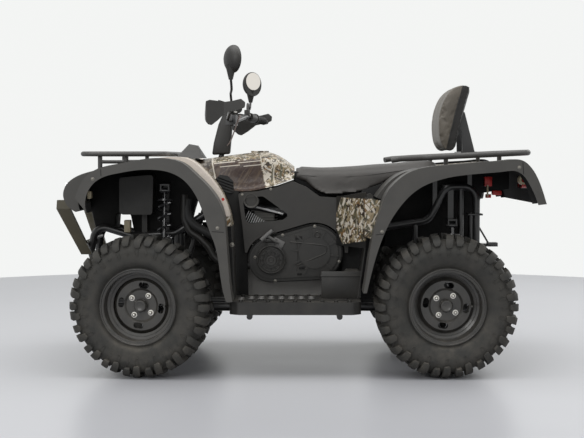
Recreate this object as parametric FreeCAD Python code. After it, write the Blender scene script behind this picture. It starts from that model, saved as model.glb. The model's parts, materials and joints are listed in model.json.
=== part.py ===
import FreeCAD
import Part

import math
import os

# Quad bike, a utility model for two people, in millimetres.
# The front points to -X, the left side to -Y and up is +Z.
# The origin is on the ground, midway along the whole length and on the centre line.

# Axles
WHEELBASE = 1310.0
FRONT_AXLE_X = -660.0
REAR_AXLE_X = FRONT_AXLE_X + WHEELBASE
FIT_GAP = 0.3

# Tyres and rims
TYRE_RADIUS = 311.0
LUG_HEIGHT = 22.0
LUG_WIDTH = 26.0
LUG_PITCHES = 18
LUG_SKEW = 17.0
LUG_REACH = 26.0
CARCASS_WALL = 9.0
BEAD_RADIUS = 153.0
FRONT_TYRE_WIDTH = 205.0
REAR_TYRE_WIDTH = 255.0
FRONT_RIM_WIDTH = 152.0
REAR_RIM_WIDTH = 190.0
RIM_LIP_RADIUS = 166.0
RIM_LIP_ROLL = 8.0
RIM_WELL_RADIUS = 126.0
RIM_SHEET = 4.0
RIM_DISC_RECESS = 72.0
RIM_SLOTS = 4
RIM_SLOT_CIRCLE = 88.0
RIM_SLOT_WIDTH = 26.0
RIM_SLOT_LENGTH = 44.0
HUB_CAP_RADIUS = 27.0
HUB_RADIUS = 34.0
STUB_RADIUS = 14.0
STUB_LENGTH = 13.0
HUB_Z = math.sqrt(TYRE_RADIUS ** 2 - LUG_REACH ** 2)

# Track and uprights
FRONT_WHEEL_Y = 473.0
REAR_WHEEL_Y = 448.0
FRONT_UPRIGHT_Y = 395.0
REAR_UPRIGHT_Y = 372.0
BALL_JOINT_RISE = 95.0
BALL_PIN_RADIUS = 8.0
BALL_BOSS_RADIUS = 17.0
WISHBONE_BOSS = 16.0
CV_RADIUS = 32.0
CUP_WALL = 10.0
BEARING_WALL = 12.0

# Suspension
PIVOT_Y = 142.0
LOWER_PIVOT_SPREAD = 110.0
UPPER_PIVOT_FRONT = 100.0
UPPER_PIVOT_REAR = -20.0
UPPER_PIVOT_Z = 430.0
PIVOT_BUSH = 32.0
PIVOT_BUSH_LENGTH = 40.0
ARM_TUBE = 24.0
SHAFT_DIAMETER = 24.0
EYE_BOLT_RADIUS = 6.0
SPRING_RADIUS = 34.0
SPRING_WIRE = 10.0
SPRING_TURNS = 8
SPRING_STEPS = 12

# Steering
STEER_AT_REST = -6.0
COLUMN_TILT = 18.0
COLUMN_X = -353.0
COLUMN_Z = 953.0
COLUMN_DIAMETER = 24.0
COLUMN_BASE_Z = 376.0
COLUMN_TOP_Z = 1108.0
STEERING_ARM = 60.0
STEERING_ARM_RISE = 58.0
TIE_ROD_DIAMETER = 14.0
TIE_ROD_DROP = 13.0
HANDLEBAR_DIAMETER = 22.0
GRIP_DIAMETER = 34.0
GRIP_LENGTH = 118.0

# Frame
FRAME_TUBE = 34.0
CROSS_TUBE = 26.0
FRAME_Y = 105.0
FRAME_BOTTOM_Z = 262.0
TUBE_BEND = 60.0
POST_TUBE = 26.0

# Bodywork
SKIN = 5.0
FLARE_OUTER_Y = 570.0
FLARE_INNER_Y = 425.0
PANEL_OUTER_Y = 241.0
PANEL_INNER_Y = 207.0
FLOOR_TOP_Z = 329.0
FLOOR_FRONT_X = -286.0
FLOOR_REAR_X = 282.0
FLOOR_INNER_Y = 252.0
FLOOR_OUTER_Y = 545.0

UP = FreeCAD.Vector(0, 0, 1)
ALONG = FreeCAD.Vector(1, 0, 0)
ACROSS = FreeCAD.Vector(0, 1, 0)
ORIGIN = FreeCAD.Vector(0, 0, 0)


def vec(x, y, z):
    return FreeCAD.Vector(x, y, z)


def export(name, shape):
    shape.exportStep("parts/" + name + ".step")
    print(name, len(shape.Solids), shape.isValid(), round(shape.Volume / 1e6, 3))


def mirrored(shape):
    """The same piece on the other side of the centre plane."""
    return shape.mirror(ORIGIN, ACROSS)


def both_sides(shape):
    return Part.makeCompound([shape, mirrored(shape)])


def placed(shape, x, y, z):
    copy = shape.copy()
    copy.translate(vec(x, y, z))
    return copy


def fused(shapes):
    return shapes[0].multiFuse(shapes[1:])


def box(x0, x1, y0, y1, z0, z1):
    return Part.makeBox(x1 - x0, y1 - y0, z1 - z0, vec(x0, y0, z0))


def rod(start, end, diameter):
    run = end - start
    return Part.makeCylinder(diameter / 2, run.Length, start, run)


def disc_y(radius, y0, y1, x, z):
    """A round piece whose axis runs across the vehicle."""
    return Part.makeCylinder(radius, y1 - y0, vec(x, y0, z), ACROSS)


def disc_x(radius, x0, x1, y, z):
    return Part.makeCylinder(radius, x1 - x0, vec(x0, y, z), ALONG)


def disc_z(radius, z0, z1, x, y):
    return Part.makeCylinder(radius, z1 - z0, vec(x, y, z0), UP)


def bend_edges(points, radius, closed):
    """Straight runs joined by tangent arcs of one radius, smaller where a run is short."""
    count = len(points)
    ends = []
    for i, corner in enumerate(points):
        before = points[i - 1]
        after = points[(i + 1) % count]
        turn = 0.0
        if closed or 0 < i < count - 1:
            turn = (corner - before).getAngle(after - corner)
        if turn < 0.01 or radius == 0:
            ends.append((corner, corner, corner))
            continue
        way_in = (corner - before).normalize()
        way_out = (after - corner).normalize()
        shorter = min((corner - before).Length, (after - corner).Length)
        reach = min(radius * math.tan(turn / 2), 0.48 * shorter)
        true_radius = reach / math.tan(turn / 2)
        bulge = true_radius / math.cos(turn / 2) - true_radius
        middle = corner + (way_out - way_in).normalize() * bulge
        ends.append((corner - way_in * reach, middle, corner + way_out * reach))
    edges = []
    for i in range(count):
        first, middle, second = ends[i]
        if (second - first).Length > 1e-6:
            edges.append(Part.Arc(first, middle, second).toShape())
        if closed or i < count - 1:
            start = ends[(i + 1) % count][0]
            if (start - second).Length > 1e-6:
                edges.append(Part.LineSegment(second, start).toShape())
    return edges


def tube(points, diameter, bend=TUBE_BEND, closed=False):
    """A round bar bent along straight runs and tangent arcs."""
    path = Part.Wire(bend_edges(points, bend, closed))
    if closed:
        first = path.OrderedEdges[0]
        start = first.valueAt(first.FirstParameter)
        way = first.tangentAt(first.FirstParameter)
    else:
        start = points[0]
        way = points[1] - start
    ring = Part.Wire(Part.makeCircle(diameter / 2, start, way))
    return path.makePipeShell([ring], True, False)


def side_plate(outline, y0, y1, radius=0.0):
    """A flat piece seen from the side, its outline given as x and z pairs."""
    points = [vec(x, y0, z) for x, z in outline]
    wire = Part.Wire(bend_edges(points, radius, True))
    return Part.Face(wire).extrude(vec(0, y1 - y0, 0))


def plan_plate(outline, z0, z1, radius=0.0):
    """A flat piece seen from above, its outline given as x and y pairs."""
    points = [vec(x, y, z0) for x, y in outline]
    wire = Part.Wire(bend_edges(points, radius, True))
    return Part.Face(wire).extrude(vec(0, 0, z1 - z0))


def front_plate(outline, x0, x1, radius=0.0):
    """A flat piece seen from the front, its outline given as y and z pairs."""
    points = [vec(x0, y, z) for y, z in outline]
    wire = Part.Wire(bend_edges(points, radius, True))
    return Part.Face(wire).extrude(vec(x1 - x0, 0, 0))


def offset_line(points, distance):
    """An open side-view line moved square to itself, towards its right-hand side."""
    moved = []
    for i, (x, z) in enumerate(points):
        x0, z0 = points[max(i - 1, 0)]
        x1, z1 = points[min(i + 1, len(points) - 1)]
        length = math.hypot(x1 - x0, z1 - z0)
        moved.append((x + distance * (z1 - z0) / length, z - distance * (x1 - x0) / length))
    return moved


def smooth_edge(points):
    curve = Part.BSplineCurve()
    curve.interpolate(points)
    return curve.toShape()


def band(upper, lower, y0, y1):
    """What lies between two smooth side-view lines that run the same way."""
    first = [vec(x, y0, z) for x, z in upper]
    second = [vec(x, y0, z) for x, z in lower]
    edges = [
        smooth_edge(first),
        Part.LineSegment(first[-1], second[-1]).toShape(),
        smooth_edge(second),
        Part.LineSegment(second[0], first[0]).toShape(),
    ]
    wire = Part.Wire(Part.__sortEdges__(edges))
    return Part.Face(wire).extrude(vec(0, y1 - y0, 0))


def line_height(points, x):
    """Height of a side-view line at a station along the vehicle."""
    for (x0, z0), (x1, z1) in zip(points, points[1:]):
        if x0 <= x <= x1:
            return z0 + (z1 - z0) * (x - x0) / (x1 - x0)
    return points[-1][1]


def flat_solid(faces):
    solid = Part.makeSolid(Part.makeShell(faces))
    if solid.Volume < 0:
        solid.reverse()
    return solid


def flat_face(corners):
    return Part.Face(Part.makePolygon(corners + corners[:1]))


def turned(profile):
    """A solid of revolution about the wheel's axle, its profile given as (outward, radius)."""
    points = [vec(0, -a, r) for a, r in profile]
    face = Part.Face(Part.makePolygon(points + points[:1]))
    return face.revolve(ORIGIN, ACROSS, 360)


def column_axis():
    tilt = math.radians(COLUMN_TILT)
    return vec(math.sin(tilt), 0, math.cos(tilt))


def column_point(z):
    """The place on the steering column's axis at a height."""
    return vec(COLUMN_X + (z - COLUMN_Z) * math.tan(math.radians(COLUMN_TILT)), 0, z)


def with_handlebar(shape):
    """Turns what moves with the column from straight ahead to its place at rest."""
    return shape.rotate(column_point(COLUMN_Z), column_axis(), STEER_AT_REST)


def with_front_wheel(shape, side):
    """Turns what moves with a front upright. Side is -1 on the left and 1 on the right."""
    pivot = vec(FRONT_AXLE_X, side * FRONT_UPRIGHT_Y, 0)
    return shape.rotate(pivot, UP, STEER_AT_REST)


# Wheels, made about their own centre for the left side.

def faceted_ring(profile, count):
    """A closed ring of flat faces, its profile given as (outward, radius to each flat)."""
    stretch = 1 / math.cos(math.pi / count)
    faces = []
    for i in range(count):
        angles = [math.pi * (2 * i - 1) / count, math.pi * (2 * i + 1) / count]
        sides = []
        for a in angles:
            sides.append([
                vec(r * stretch * math.sin(a), -out, -r * stretch * math.cos(a))
                for out, r in profile
            ])
        for j in range(len(profile)):
            k = (j + 1) % len(profile)
            faces.append(flat_face([sides[0][j], sides[0][k], sides[1][k], sides[1][j]]))
    return flat_solid(faces)


def tyre(width, rim_width):
    """A knobbly tyre: a hollow carcass with two rows of staggered lugs."""
    half = width / 2
    bead = rim_width / 2 - FIT_GAP
    crown = TYRE_RADIUS - LUG_HEIGHT
    outer = [
        (bead - 1, BEAD_RADIUS),
        (bead - 1, RIM_LIP_RADIUS + 4),
        (half, 226),
        (half - 14, 270),
        (half - 44, crown - 4),
    ]
    inner = [
        (half - 44, crown - 4 - CARCASS_WALL),
        (half - CARCASS_WALL, 228),
        (bead - 12, 190),
    ]
    profile = outer + [(-a, r) for a, r in reversed(outer)]
    profile += [(-a, r) for a, r in reversed(inner)] + inner
    carcass = faceted_ring(profile, LUG_PITCHES)
    lug = lug_block(half)
    lugs = []
    for i in range(LUG_PITCHES):
        angle = 360.0 / LUG_PITCHES * i
        lugs.append(lug.copy().rotate(ORIGIN, ACROSS, angle))
        other = mirrored(lug)
        lugs.append(other.rotate(ORIGIN, ACROSS, angle + 180.0 / LUG_PITCHES))
    return carcass.multiFuse(lugs)


def lug_block(half):
    """One lug at the bottom of the wheel, from near the centre line to the side wall."""
    crown = TYRE_RADIUS - LUG_HEIGHT
    section = [
        (6, crown - 8),
        (6, HUB_Z),
        (half - 34, HUB_Z),
        (half + 2, 262),
        (half + 2, 240),
        (half - 24, 240),
    ]
    points = [vec(-LUG_WIDTH / 2, -a, -r) for a, r in section]
    face = Part.Face(Part.makePolygon(points + points[:1]))
    block = face.extrude(vec(LUG_WIDTH, 0, 0))
    return block.rotate(vec(0, -(half - 34) / 2, 0), UP, LUG_SKEW)


def rim(width, stub_end):
    """A pressed steel rim with its dished disc, hub and cap. Its stub ends at stub_end inboard."""
    w = width / 2
    lip = w + RIM_LIP_ROLL
    tyre_side = [
        (0, RIM_WELL_RADIUS),
        (20, RIM_WELL_RADIUS),
        (34, BEAD_RADIUS - 4),
        (w, BEAD_RADIUS - FIT_GAP),
        (w, RIM_LIP_RADIUS - 2),
        (lip, RIM_LIP_RADIUS),
    ]
    bare_side = [
        (lip, RIM_LIP_RADIUS - RIM_SHEET),
        (w + RIM_SHEET, RIM_LIP_RADIUS - 7),
        (w + RIM_SHEET - 1, BEAD_RADIUS - RIM_SHEET),
        (35, BEAD_RADIUS - 4 - RIM_SHEET),
        (22, RIM_WELL_RADIUS - RIM_SHEET),
        (0, RIM_WELL_RADIUS - RIM_SHEET),
    ]
    profile = tyre_side + bare_side
    profile += [(-a, r) for a, r in reversed(bare_side[:-1])]
    profile += [(-a, r) for a, r in reversed(tyre_side[1:])]
    barrel = turned(profile)
    face = lip - RIM_DISC_RECESS
    well = RIM_WELL_RADIUS - RIM_SHEET / 2
    disc = turned([
        (face - 12, well),
        (face + 8, 108),
        (face + 8, 76),
        (face, 66),
        (face, 0),
        (face - RIM_SHEET, 0),
        (face - RIM_SHEET, 68),
        (face + 8 - RIM_SHEET, 78),
        (face + 8 - RIM_SHEET, 107),
        (face - 12 - RIM_SHEET, well),
    ])
    end = RIM_SLOT_WIDTH / 2
    reach = RIM_SLOT_LENGTH / 2 - end
    slot = box(-reach, reach, -face - 30, -face + 30, RIM_SLOT_CIRCLE - end, RIM_SLOT_CIRCLE + end)
    slot = slot.multiFuse([
        disc_y(end, -face - 30, -face + 30, side * reach, RIM_SLOT_CIRCLE)
        for side in (-1, 1)
    ])
    slots = []
    for i in range(RIM_SLOTS):
        slots.append(slot.copy().rotate(ORIGIN, ACROSS, 8 + 360.0 / RIM_SLOTS * i))
    disc = disc.cut(Part.makeCompound(slots))
    hub = turned([
        (face + 18, 0),
        (face + 18, HUB_CAP_RADIUS - 5),
        (face + 12, HUB_CAP_RADIUS),
        (face - 2, HUB_CAP_RADIUS),
        (face - 2, 58),
        (face - 14, 58),
        (face - 24, HUB_RADIUS),
        (stub_end + STUB_LENGTH, HUB_RADIUS),
        (stub_end + STUB_LENGTH, STUB_RADIUS),
        (stub_end, STUB_RADIUS),
        (stub_end, 0),
    ])
    return fused([barrel, disc, hub])


def place_wheel(shape, axle_x, wheel_y, side):
    """Moves a wheel piece made for the left side to its hub on either side."""
    left = placed(shape, axle_x, -wheel_y, HUB_Z)
    return left if side < 0 else mirrored(left)


def front_stub_end():
    return FRONT_UPRIGHT_Y + CV_RADIUS + 3 - FRONT_WHEEL_Y


def rear_stub_end():
    return REAR_UPRIGHT_Y + CV_RADIUS + 3 - REAR_WHEEL_Y


# Running gear

def upright(axle_x, pivot_y, steered):
    """The left upright: a cup round the shaft's joint, a bearing and two ball pins."""
    y = -pivot_y
    cup_radius = CV_RADIUS + 2
    outer = cup_radius + CUP_WALL
    bearing_y = y - CV_RADIUS - 2
    back_y = bearing_y - BEARING_WALL
    body = disc_y(outer, back_y, y + 12, axle_x, HUB_Z)
    pieces = [body]
    for way in (-1, 1):
        boss_near = HUB_Z + way * (BALL_JOINT_RISE - WISHBONE_BOSS / 2 - 4)
        boss_far = boss_near - way * 22
        low, high = sorted((boss_near, boss_far))
        pieces.append(disc_z(BALL_BOSS_RADIUS, low, high, axle_x, y))
        low, high = sorted((boss_near, HUB_Z + way * (outer - 8)))
        pieces.append(box(axle_x - 14, axle_x + 14, y - 40, y - 4, low, high))
    if steered:
        z = HUB_Z + STEERING_ARM_RISE
        eye_x = axle_x - STEERING_ARM
        pieces.append(box(eye_x, axle_x, y - 12, y + 12, z, z + 14))
        pieces.append(disc_z(12, z, z + 14, eye_x, y))
    solid = fused(pieces)
    solid = solid.cut(disc_y(cup_radius, bearing_y, y + 20, axle_x, HUB_Z))
    solid = solid.cut(disc_y(STUB_RADIUS + FIT_GAP, back_y - 1, bearing_y + 1, axle_x, HUB_Z))
    pins = []
    for way in (-1, 1):
        start = HUB_Z + way * (BALL_JOINT_RISE - WISHBONE_BOSS / 2 - 10)
        end = HUB_Z + way * (BALL_JOINT_RISE + WISHBONE_BOSS / 2 + 1)
        cap = end + way * 6
        pins.append(disc_z(BALL_PIN_RADIUS, min(start, end), max(start, end), axle_x, y))
        pins.append(disc_z(BALL_PIN_RADIUS + 4, min(cap, end), max(cap, end), axle_x, y))
    return solid.multiFuse(pins)


def arm_end(axle_x, pivot_y, z):
    ring = disc_z(BALL_BOSS_RADIUS, z - WISHBONE_BOSS / 2, z + WISHBONE_BOSS / 2, axle_x, -pivot_y)
    bore = disc_z(BALL_PIN_RADIUS + FIT_GAP, z - 20, z + 20, axle_x, -pivot_y)
    return ring, bore


def eye_fork(foot, eye):
    """Two plates and the bolt that hold a spring leg's eye above or below a foot point."""
    pieces = []
    low, high = sorted((foot.z, eye.z))
    for side in (-1, 1):
        x = eye.x + side * 18
        pieces.append(disc_x(13, x - 3, x + 3, eye.y, eye.z))
        pieces.append(box(x - 3, x + 3, eye.y - 13, eye.y + 13, low, high))
    pieces.append(disc_x(EYE_BOLT_RADIUS, eye.x - 25, eye.x + 25, eye.y, eye.z))
    return pieces


def wishbone(axle_x, outer_y, front_x, rear_x, pivot_z, outer_z, eye):
    """A left A-arm from two bushes beside the frame to a ring round the upright's pin."""
    tip = vec(axle_x, -outer_y, outer_z)
    ring, bore = arm_end(axle_x, outer_y, outer_z)
    pieces = [ring]
    for x in (front_x, rear_x):
        inner = vec(x, -PIVOT_Y, pivot_z)
        run = (tip - inner).normalize()
        pieces.append(rod(inner, tip - run * 38, ARM_TUBE))
        pieces.append(rod(inner, tip - run * 14, WISHBONE_BOSS))
        half = PIVOT_BUSH_LENGTH / 2
        pieces.append(disc_x(PIVOT_BUSH / 2, x - half, x + half, -PIVOT_Y, pivot_z))
    if eye:
        mount = lower_arm_point(axle_x, outer_y, eye)
        pieces += eye_fork(mount, mount + vec(0, 0, 28))
    solid = fused(pieces).cut(bore)
    for x in (front_x, rear_x):
        solid = solid.cut(disc_x(7 + FIT_GAP, x - 30, x + 30, -PIVOT_Y, pivot_z))
    return solid, (mount + vec(0, 0, 28) if eye else None)


def suspension(axle_x, outer_y, shock_eye_y):
    """The left upper and lower arms of one axle, and where the spring leg's lower eye sits."""
    lower, eye = wishbone(
        axle_x, outer_y, axle_x - LOWER_PIVOT_SPREAD, axle_x + LOWER_PIVOT_SPREAD,
        FRAME_BOTTOM_Z, HUB_Z - BALL_JOINT_RISE, shock_eye_y)
    upper, _ = wishbone(
        axle_x, outer_y, axle_x - UPPER_PIVOT_FRONT, axle_x - UPPER_PIVOT_REAR,
        UPPER_PIVOT_Z, HUB_Z + BALL_JOINT_RISE, None)
    return lower, upper, eye


def coil(radius, wire, turns, length):
    """A spring of flat-sided wire along the z axis."""
    count = turns * SPRING_STEPS
    rings = []
    for i in range(count + 1):
        angle = 2 * math.pi * i / SPRING_STEPS
        z = wire / 2 + (length - wire) * i / count
        ring = []
        for j in range(6):
            lean = math.pi * j / 3
            r = radius - wire / 2 + wire / 2 * math.cos(lean)
            height = z + wire / 2 * math.sin(lean)
            ring.append(vec(r * math.cos(angle), r * math.sin(angle), height))
        rings.append(ring)
    faces = [flat_face(rings[0]), flat_face(rings[-1])]
    for first, second in zip(rings, rings[1:]):
        for j in range(6):
            k = (j + 1) % 6
            faces.append(flat_face([first[j], first[k], second[k]]))
            faces.append(flat_face([first[j], second[k], second[j]]))
    return flat_solid(faces)


def shock(low, high):
    """A spring leg: damper with two spring seats, and the coil between them."""
    run = high - low
    length = run.Length
    first = 66.0
    last = length - 50.0
    leg = fused([
        disc_x(12, -14, 14, 0, 0),
        disc_z(9, 6, 80, 0, 0),
        disc_z(20, 56, 0.55 * length, 0, 0),
        disc_z(SPRING_RADIUS, first - 8, first, 0, 0),
        disc_z(8, 0.5 * length, length - 8, 0, 0),
        disc_z(SPRING_RADIUS, last, last + 8, 0, 0),
        disc_x(12, -14, 14, 0, length),
    ])
    leg = leg.cut(disc_x(EYE_BOLT_RADIUS + FIT_GAP, -30, 30, 0, 0))
    leg = leg.cut(disc_x(EYE_BOLT_RADIUS + FIT_GAP, -30, 30, 0, length))
    spring = coil(SPRING_RADIUS, SPRING_WIRE, SPRING_TURNS, last - first - 2 * FIT_GAP)
    spring.translate(vec(0, 0, first + FIT_GAP))
    whole = Part.makeCompound([leg, spring])
    whole.Placement = FreeCAD.Placement(low, FreeCAD.Rotation(UP, run))
    return whole


def half_shaft(axle_x, outer_y, casing_y):
    """The left drive shaft from the gear casing to the ball inside the upright."""
    y = -outer_y
    inner = -casing_y - FIT_GAP
    ball = Part.makeSphere(CV_RADIUS, vec(axle_x, y, HUB_Z))
    boot = Part.makeCone(29, 17, 46, vec(axle_x, inner - 12, HUB_Z), -ACROSS)
    cup = disc_y(29, inner - 12, inner, axle_x, HUB_Z)
    shaft = disc_y(SHAFT_DIAMETER / 2, y, inner - 12, axle_x, HUB_Z)
    return fused([ball, boot, cup, shaft])


CASING_Y = 80.0
CASING_RADIUS = 58.0


def gearcase(axle_x, shaft_way):
    """An axle's gear casing with the snout of its drive shaft, sitting on two cross tubes."""
    drum = disc_y(CASING_RADIUS, -CASING_Y + 22, CASING_Y - 22, axle_x, HUB_Z)
    seals = disc_y(38, -CASING_Y, CASING_Y, axle_x, HUB_Z)
    x_tip = axle_x + shaft_way * 92
    snout = disc_x(24, min(axle_x, x_tip), max(axle_x, x_tip), 0, HUB_Z)
    spread = LOWER_PIVOT_SPREAD
    foot_z = FRAME_BOTTOM_Z + CROSS_TUBE / 2 + FIT_GAP
    feet = box(axle_x - spread - 14, axle_x + spread + 14, -36, 36, foot_z, foot_z + 9)
    ribs = [
        disc_y(CASING_RADIUS + 5, y - 3, y + 3, axle_x, HUB_Z)
        for y in (-40, 0, 40)
    ]
    solid = fused([drum, seals, snout, feet] + ribs)
    return solid.cut(box(axle_x - 90, axle_x + 90, -90, 90, 200, 252))


# Frame

LOWER_FRONT = (-850.0, FRAME_BOTTOM_Z)
LOWER_REAR = (790.0, FRAME_BOTTOM_Z)
FRAME_LOOP = [
    LOWER_FRONT,
    LOWER_REAR,
    (832.0, 420.0),
    (832.0, 815.0),
    (690.0, 815.0),
    (612.0, 660.0),
    (300.0, 612.0),
    (-60.0, 700.0),
    (-330.0, 745.0),
    (-560.0, 600.0),
    (-760.0, 588.0),
    (-925.0, 640.0),
    (-950.0, 520.0),
    (-890.0, 300.0),
]
FOOT_TUBE_X = (-200.0, 190.0)
FOOT_TUBE_REACH = 500.0
HITCH_Z = 540.0


SPRING_LEGS = (
    (FRONT_AXLE_X, FRONT_UPRIGHT_Y, 255.0, 800.0),
    (REAR_AXLE_X, REAR_UPRIGHT_Y, 240.0, 640.0),
)


def loop_height(x, top):
    """Height of the side loop's centre line at a station, on its upper or lower run."""
    if not top:
        return FRAME_BOTTOM_Z
    run = FRAME_LOOP[3:12]
    for (x0, z0), (x1, z1) in zip(run, run[1:]):
        if x1 <= x <= x0:
            return z0 + (z1 - z0) * (x - x0) / (x1 - x0)
    return run[-1][1]


def cross_tube(x, z, diameter=CROSS_TUBE):
    return disc_y(diameter / 2, -FRAME_Y, FRAME_Y, x, z)


def pivot_bracket(x, z, rail_z):
    """Two plates and a bolt that hold one wishbone bush beside the left rail."""
    half = PIVOT_BUSH_LENGTH / 2 + FIT_GAP
    pieces = []
    for side in (-1, 1):
        x0 = x + side * half
        x1 = x0 + side * 5
        low, high = min(x0, x1), max(x0, x1)
        y_in = -FRAME_Y + 4
        pieces.append(box(low, high, -PIVOT_Y, y_in, z - 16, z + 16))
        pieces.append(disc_x(14, low, high, -PIVOT_Y, z))
    pieces.append(disc_x(7, x - half - 8, x + half + 8, -PIVOT_Y, z))
    if abs(z - rail_z) > 20:
        pieces.append(box(x - half - 5, x + half + 5, -FRAME_Y - 9, -FRAME_Y + 9, z - 16, z + 16))
    return pieces


SHOCK_TOP_Y = 172.0


def lower_arm_point(axle_x, outer_y, y):
    """A point on the centre line of the left lower arm's rear tube."""
    share = (y - PIVOT_Y) / (outer_y - PIVOT_Y)
    z = FRAME_BOTTOM_Z + (HUB_Z - BALL_JOINT_RISE - FRAME_BOTTOM_Z) * share
    return vec(axle_x + LOWER_PIVOT_SPREAD * (1 - share), -y, z)


def shock_top(axle_x, outer_y, eye_y, top_z):
    """Centre of the left spring leg's upper eye, straight above its lower one."""
    return vec(lower_arm_point(axle_x, outer_y, eye_y).x, -SHOCK_TOP_Y, top_z)


def frame_side():
    """The left side of the frame: a closed tube loop with its posts and brackets."""
    left = [vec(x, -FRAME_Y, z) for x, z in FRAME_LOOP]
    side = [tube(left, FRAME_TUBE, TUBE_BEND, True)]
    for axle_x, upright_y, eye_y, top_z in SPRING_LEGS:
        pivots = [
            (axle_x - LOWER_PIVOT_SPREAD, FRAME_BOTTOM_Z),
            (axle_x + LOWER_PIVOT_SPREAD, FRAME_BOTTOM_Z),
            (axle_x - UPPER_PIVOT_FRONT, UPPER_PIVOT_Z),
            (axle_x - UPPER_PIVOT_REAR, UPPER_PIVOT_Z),
        ]
        for x, z in pivots:
            side += pivot_bracket(x, z, FRAME_BOTTOM_Z)
        for x in (axle_x - UPPER_PIVOT_FRONT, axle_x + LOWER_PIVOT_SPREAD):
            low = vec(x, -FRAME_Y, FRAME_BOTTOM_Z)
            side.append(rod(low, vec(x, -FRAME_Y, loop_height(x, True)), POST_TUBE))
        x0 = axle_x - UPPER_PIVOT_FRONT
        x1 = axle_x + LOWER_PIVOT_SPREAD
        side.append(disc_x(POST_TUBE / 2, x0, x1, -FRAME_Y, UPPER_PIVOT_Z))
        side += shock_bracket(shock_top(axle_x, upright_y, eye_y, top_z))
    for x in FOOT_TUBE_X:
        side.append(disc_y(CROSS_TUBE / 2, -FOOT_TUBE_REACH, -FRAME_Y, x, FRAME_BOTTOM_Z))
    side += body_posts()
    return fused(side)


def cross_members(left, right):
    """The tubes and plates between the frame's two sides, and the column's two bearings."""
    cross = []
    for axle_x in (FRONT_AXLE_X, REAR_AXLE_X):
        cross.append(cross_tube(axle_x - LOWER_PIVOT_SPREAD, FRAME_BOTTOM_Z))
        cross.append(cross_tube(axle_x + LOWER_PIVOT_SPREAD, FRAME_BOTTOM_Z))
    for x in FOOT_TUBE_X:
        cross.append(cross_tube(x, FRAME_BOTTOM_Z))
    cross.append(cross_tube(-937.0, 578.0))
    cross.append(cross_tube(300.0, 612.0))
    cross.append(cross_tube(690.0, 810.0))
    cross.append(cross_tube(832.0, HITCH_Z))
    for z in (HEAD_Z, FOOT_BEARING_Z):
        cross.append(column_bearing(z))
    bores = []
    for z in (HEAD_Z, FOOT_BEARING_Z):
        start = column_point(z) - column_axis() * 50
        bores.append(rod(start, start + column_axis() * 100, COLUMN_DIAMETER + 2 * FIT_GAP))
    return Part.makeCompound(cross).cut(Part.makeCompound([left, right] + bores))


HEAD_Z = 672.0
FOOT_BEARING_Z = COLUMN_BASE_Z + 46
BEARING_RING = 40.0


def column_bearing(z):
    """A cross tube with a plate to the ring that the steering column turns in."""
    middle = column_point(z)
    start = middle - column_axis() * 14
    ring = rod(start, start + column_axis() * 28, BEARING_RING)
    if z == HEAD_Z:
        x = middle.x - 22
        return cross_tube(x, loop_height(x, True)).fuse(ring)
    x = FRONT_AXLE_X + LOWER_PIVOT_SPREAD
    plate = box(x, middle.x, -16, 16, z - 6, z + 6)
    return fused([cross_tube(x, z), plate, ring])


def body_posts():
    """Posts on the left rail that end just under the seat, the tank and the rear deck."""
    posts = []
    carried = (
        (seat(), (150.0, 640.0)),
        (tank_cover(), (-250.0,)),
        (rear_body(), (800.0,)),
    )
    for piece, stations in carried:
        lowered = placed(piece, 0, 0, -FIT_GAP)
        for x in stations:
            top = line_height(REAR_BODY_TOP, x) - 2 if x > SEAT_REAR_X else 890.0
            post = box(x - 10, x + 10, -FRAME_Y - 8, -FRAME_Y + 8, loop_height(x, True), top)
            posts.append(post.cut(lowered))
    return posts


def shock_bracket(top):
    """Carries the left spring leg's upper eye on a post from the frame's upper rail."""
    foot = top + vec(0, 0, 22)
    pieces = eye_fork(foot, top)
    pieces.append(box(top.x - 21, top.x + 21, top.y - 13, -FRAME_Y + 4, foot.z, foot.z + 7))
    low, high = sorted((loop_height(top.x, True), foot.z + 7))
    pieces.append(box(top.x - 13, top.x + 13, -FRAME_Y - 8, -FRAME_Y + 8, low, high))
    return pieces


def belly_plate():
    z = FRAME_BOTTOM_Z - FRAME_TUBE / 2 - FIT_GAP
    plate = box(-500, 470, -118, 118, z - 4, z)
    holes = [
        disc_z(22, z - 10, z + 10, x, y)
        for x in (-380, 0, 340) for y in (-60, 60)
    ]
    return plate.cut(Part.makeCompound(holes))


# Engine

CRANKCASE = (-262.0, 176.0, 286.0, 470.0)
CYLINDER_X = (-208.0, -88.0)
CYLINDER_TOP_Z = 716.0
ENGINE_HALF_WIDTH = 80.0
FIN_PITCH = 13.0
CVT_FRONT = (-112.0, 487.0, 106.0)
CVT_REAR = (84.0, 520.0, 129.0)
CVT_INNER_Y = 126.0
CVT_OUTER_Y = 246.0


def engine():
    x0, x1, z0, z1 = CRANKCASE
    case = side_plate([(x0, z0), (x1, z0), (x1, z1), (x0, z1)], -ENGINE_HALF_WIDTH,
                      ENGINE_HALF_WIDTH, 40)
    c0, c1 = CYLINDER_X
    barrel = box(c0 + 14, c1 - 14, -52, 52, z1 - 10, CYLINDER_TOP_Z)
    pieces = [case, barrel]
    count = int((CYLINDER_TOP_Z - z1 - 20) / FIN_PITCH)
    for i in range(count):
        z = z1 + 22 + i * FIN_PITCH
        fin = plan_plate([(c0, -74), (c1, -74), (c1, 74), (c0, 74)], z, z + 4, 18)
        pieces.append(fin)
    boss_x, boss_z, _ = CVT_FRONT
    pieces.append(disc_y(60, -CVT_INNER_Y + FIT_GAP, 0, boss_x, boss_z - 40))
    pieces.append(disc_y(78, 0, 150, boss_x, boss_z - 62))
    for x in FOOT_TUBE_X:
        seat_z = FRAME_BOTTOM_Z + CROSS_TUBE / 2 + FIT_GAP
        low = max(x - 20, x0 + 10)
        high = min(x + 20, x1 - 10) if x < x1 else x1
        if high > low:
            pieces.append(box(low, high, -40, 40, seat_z, z0 + 20))
    return fused(pieces)


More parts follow.
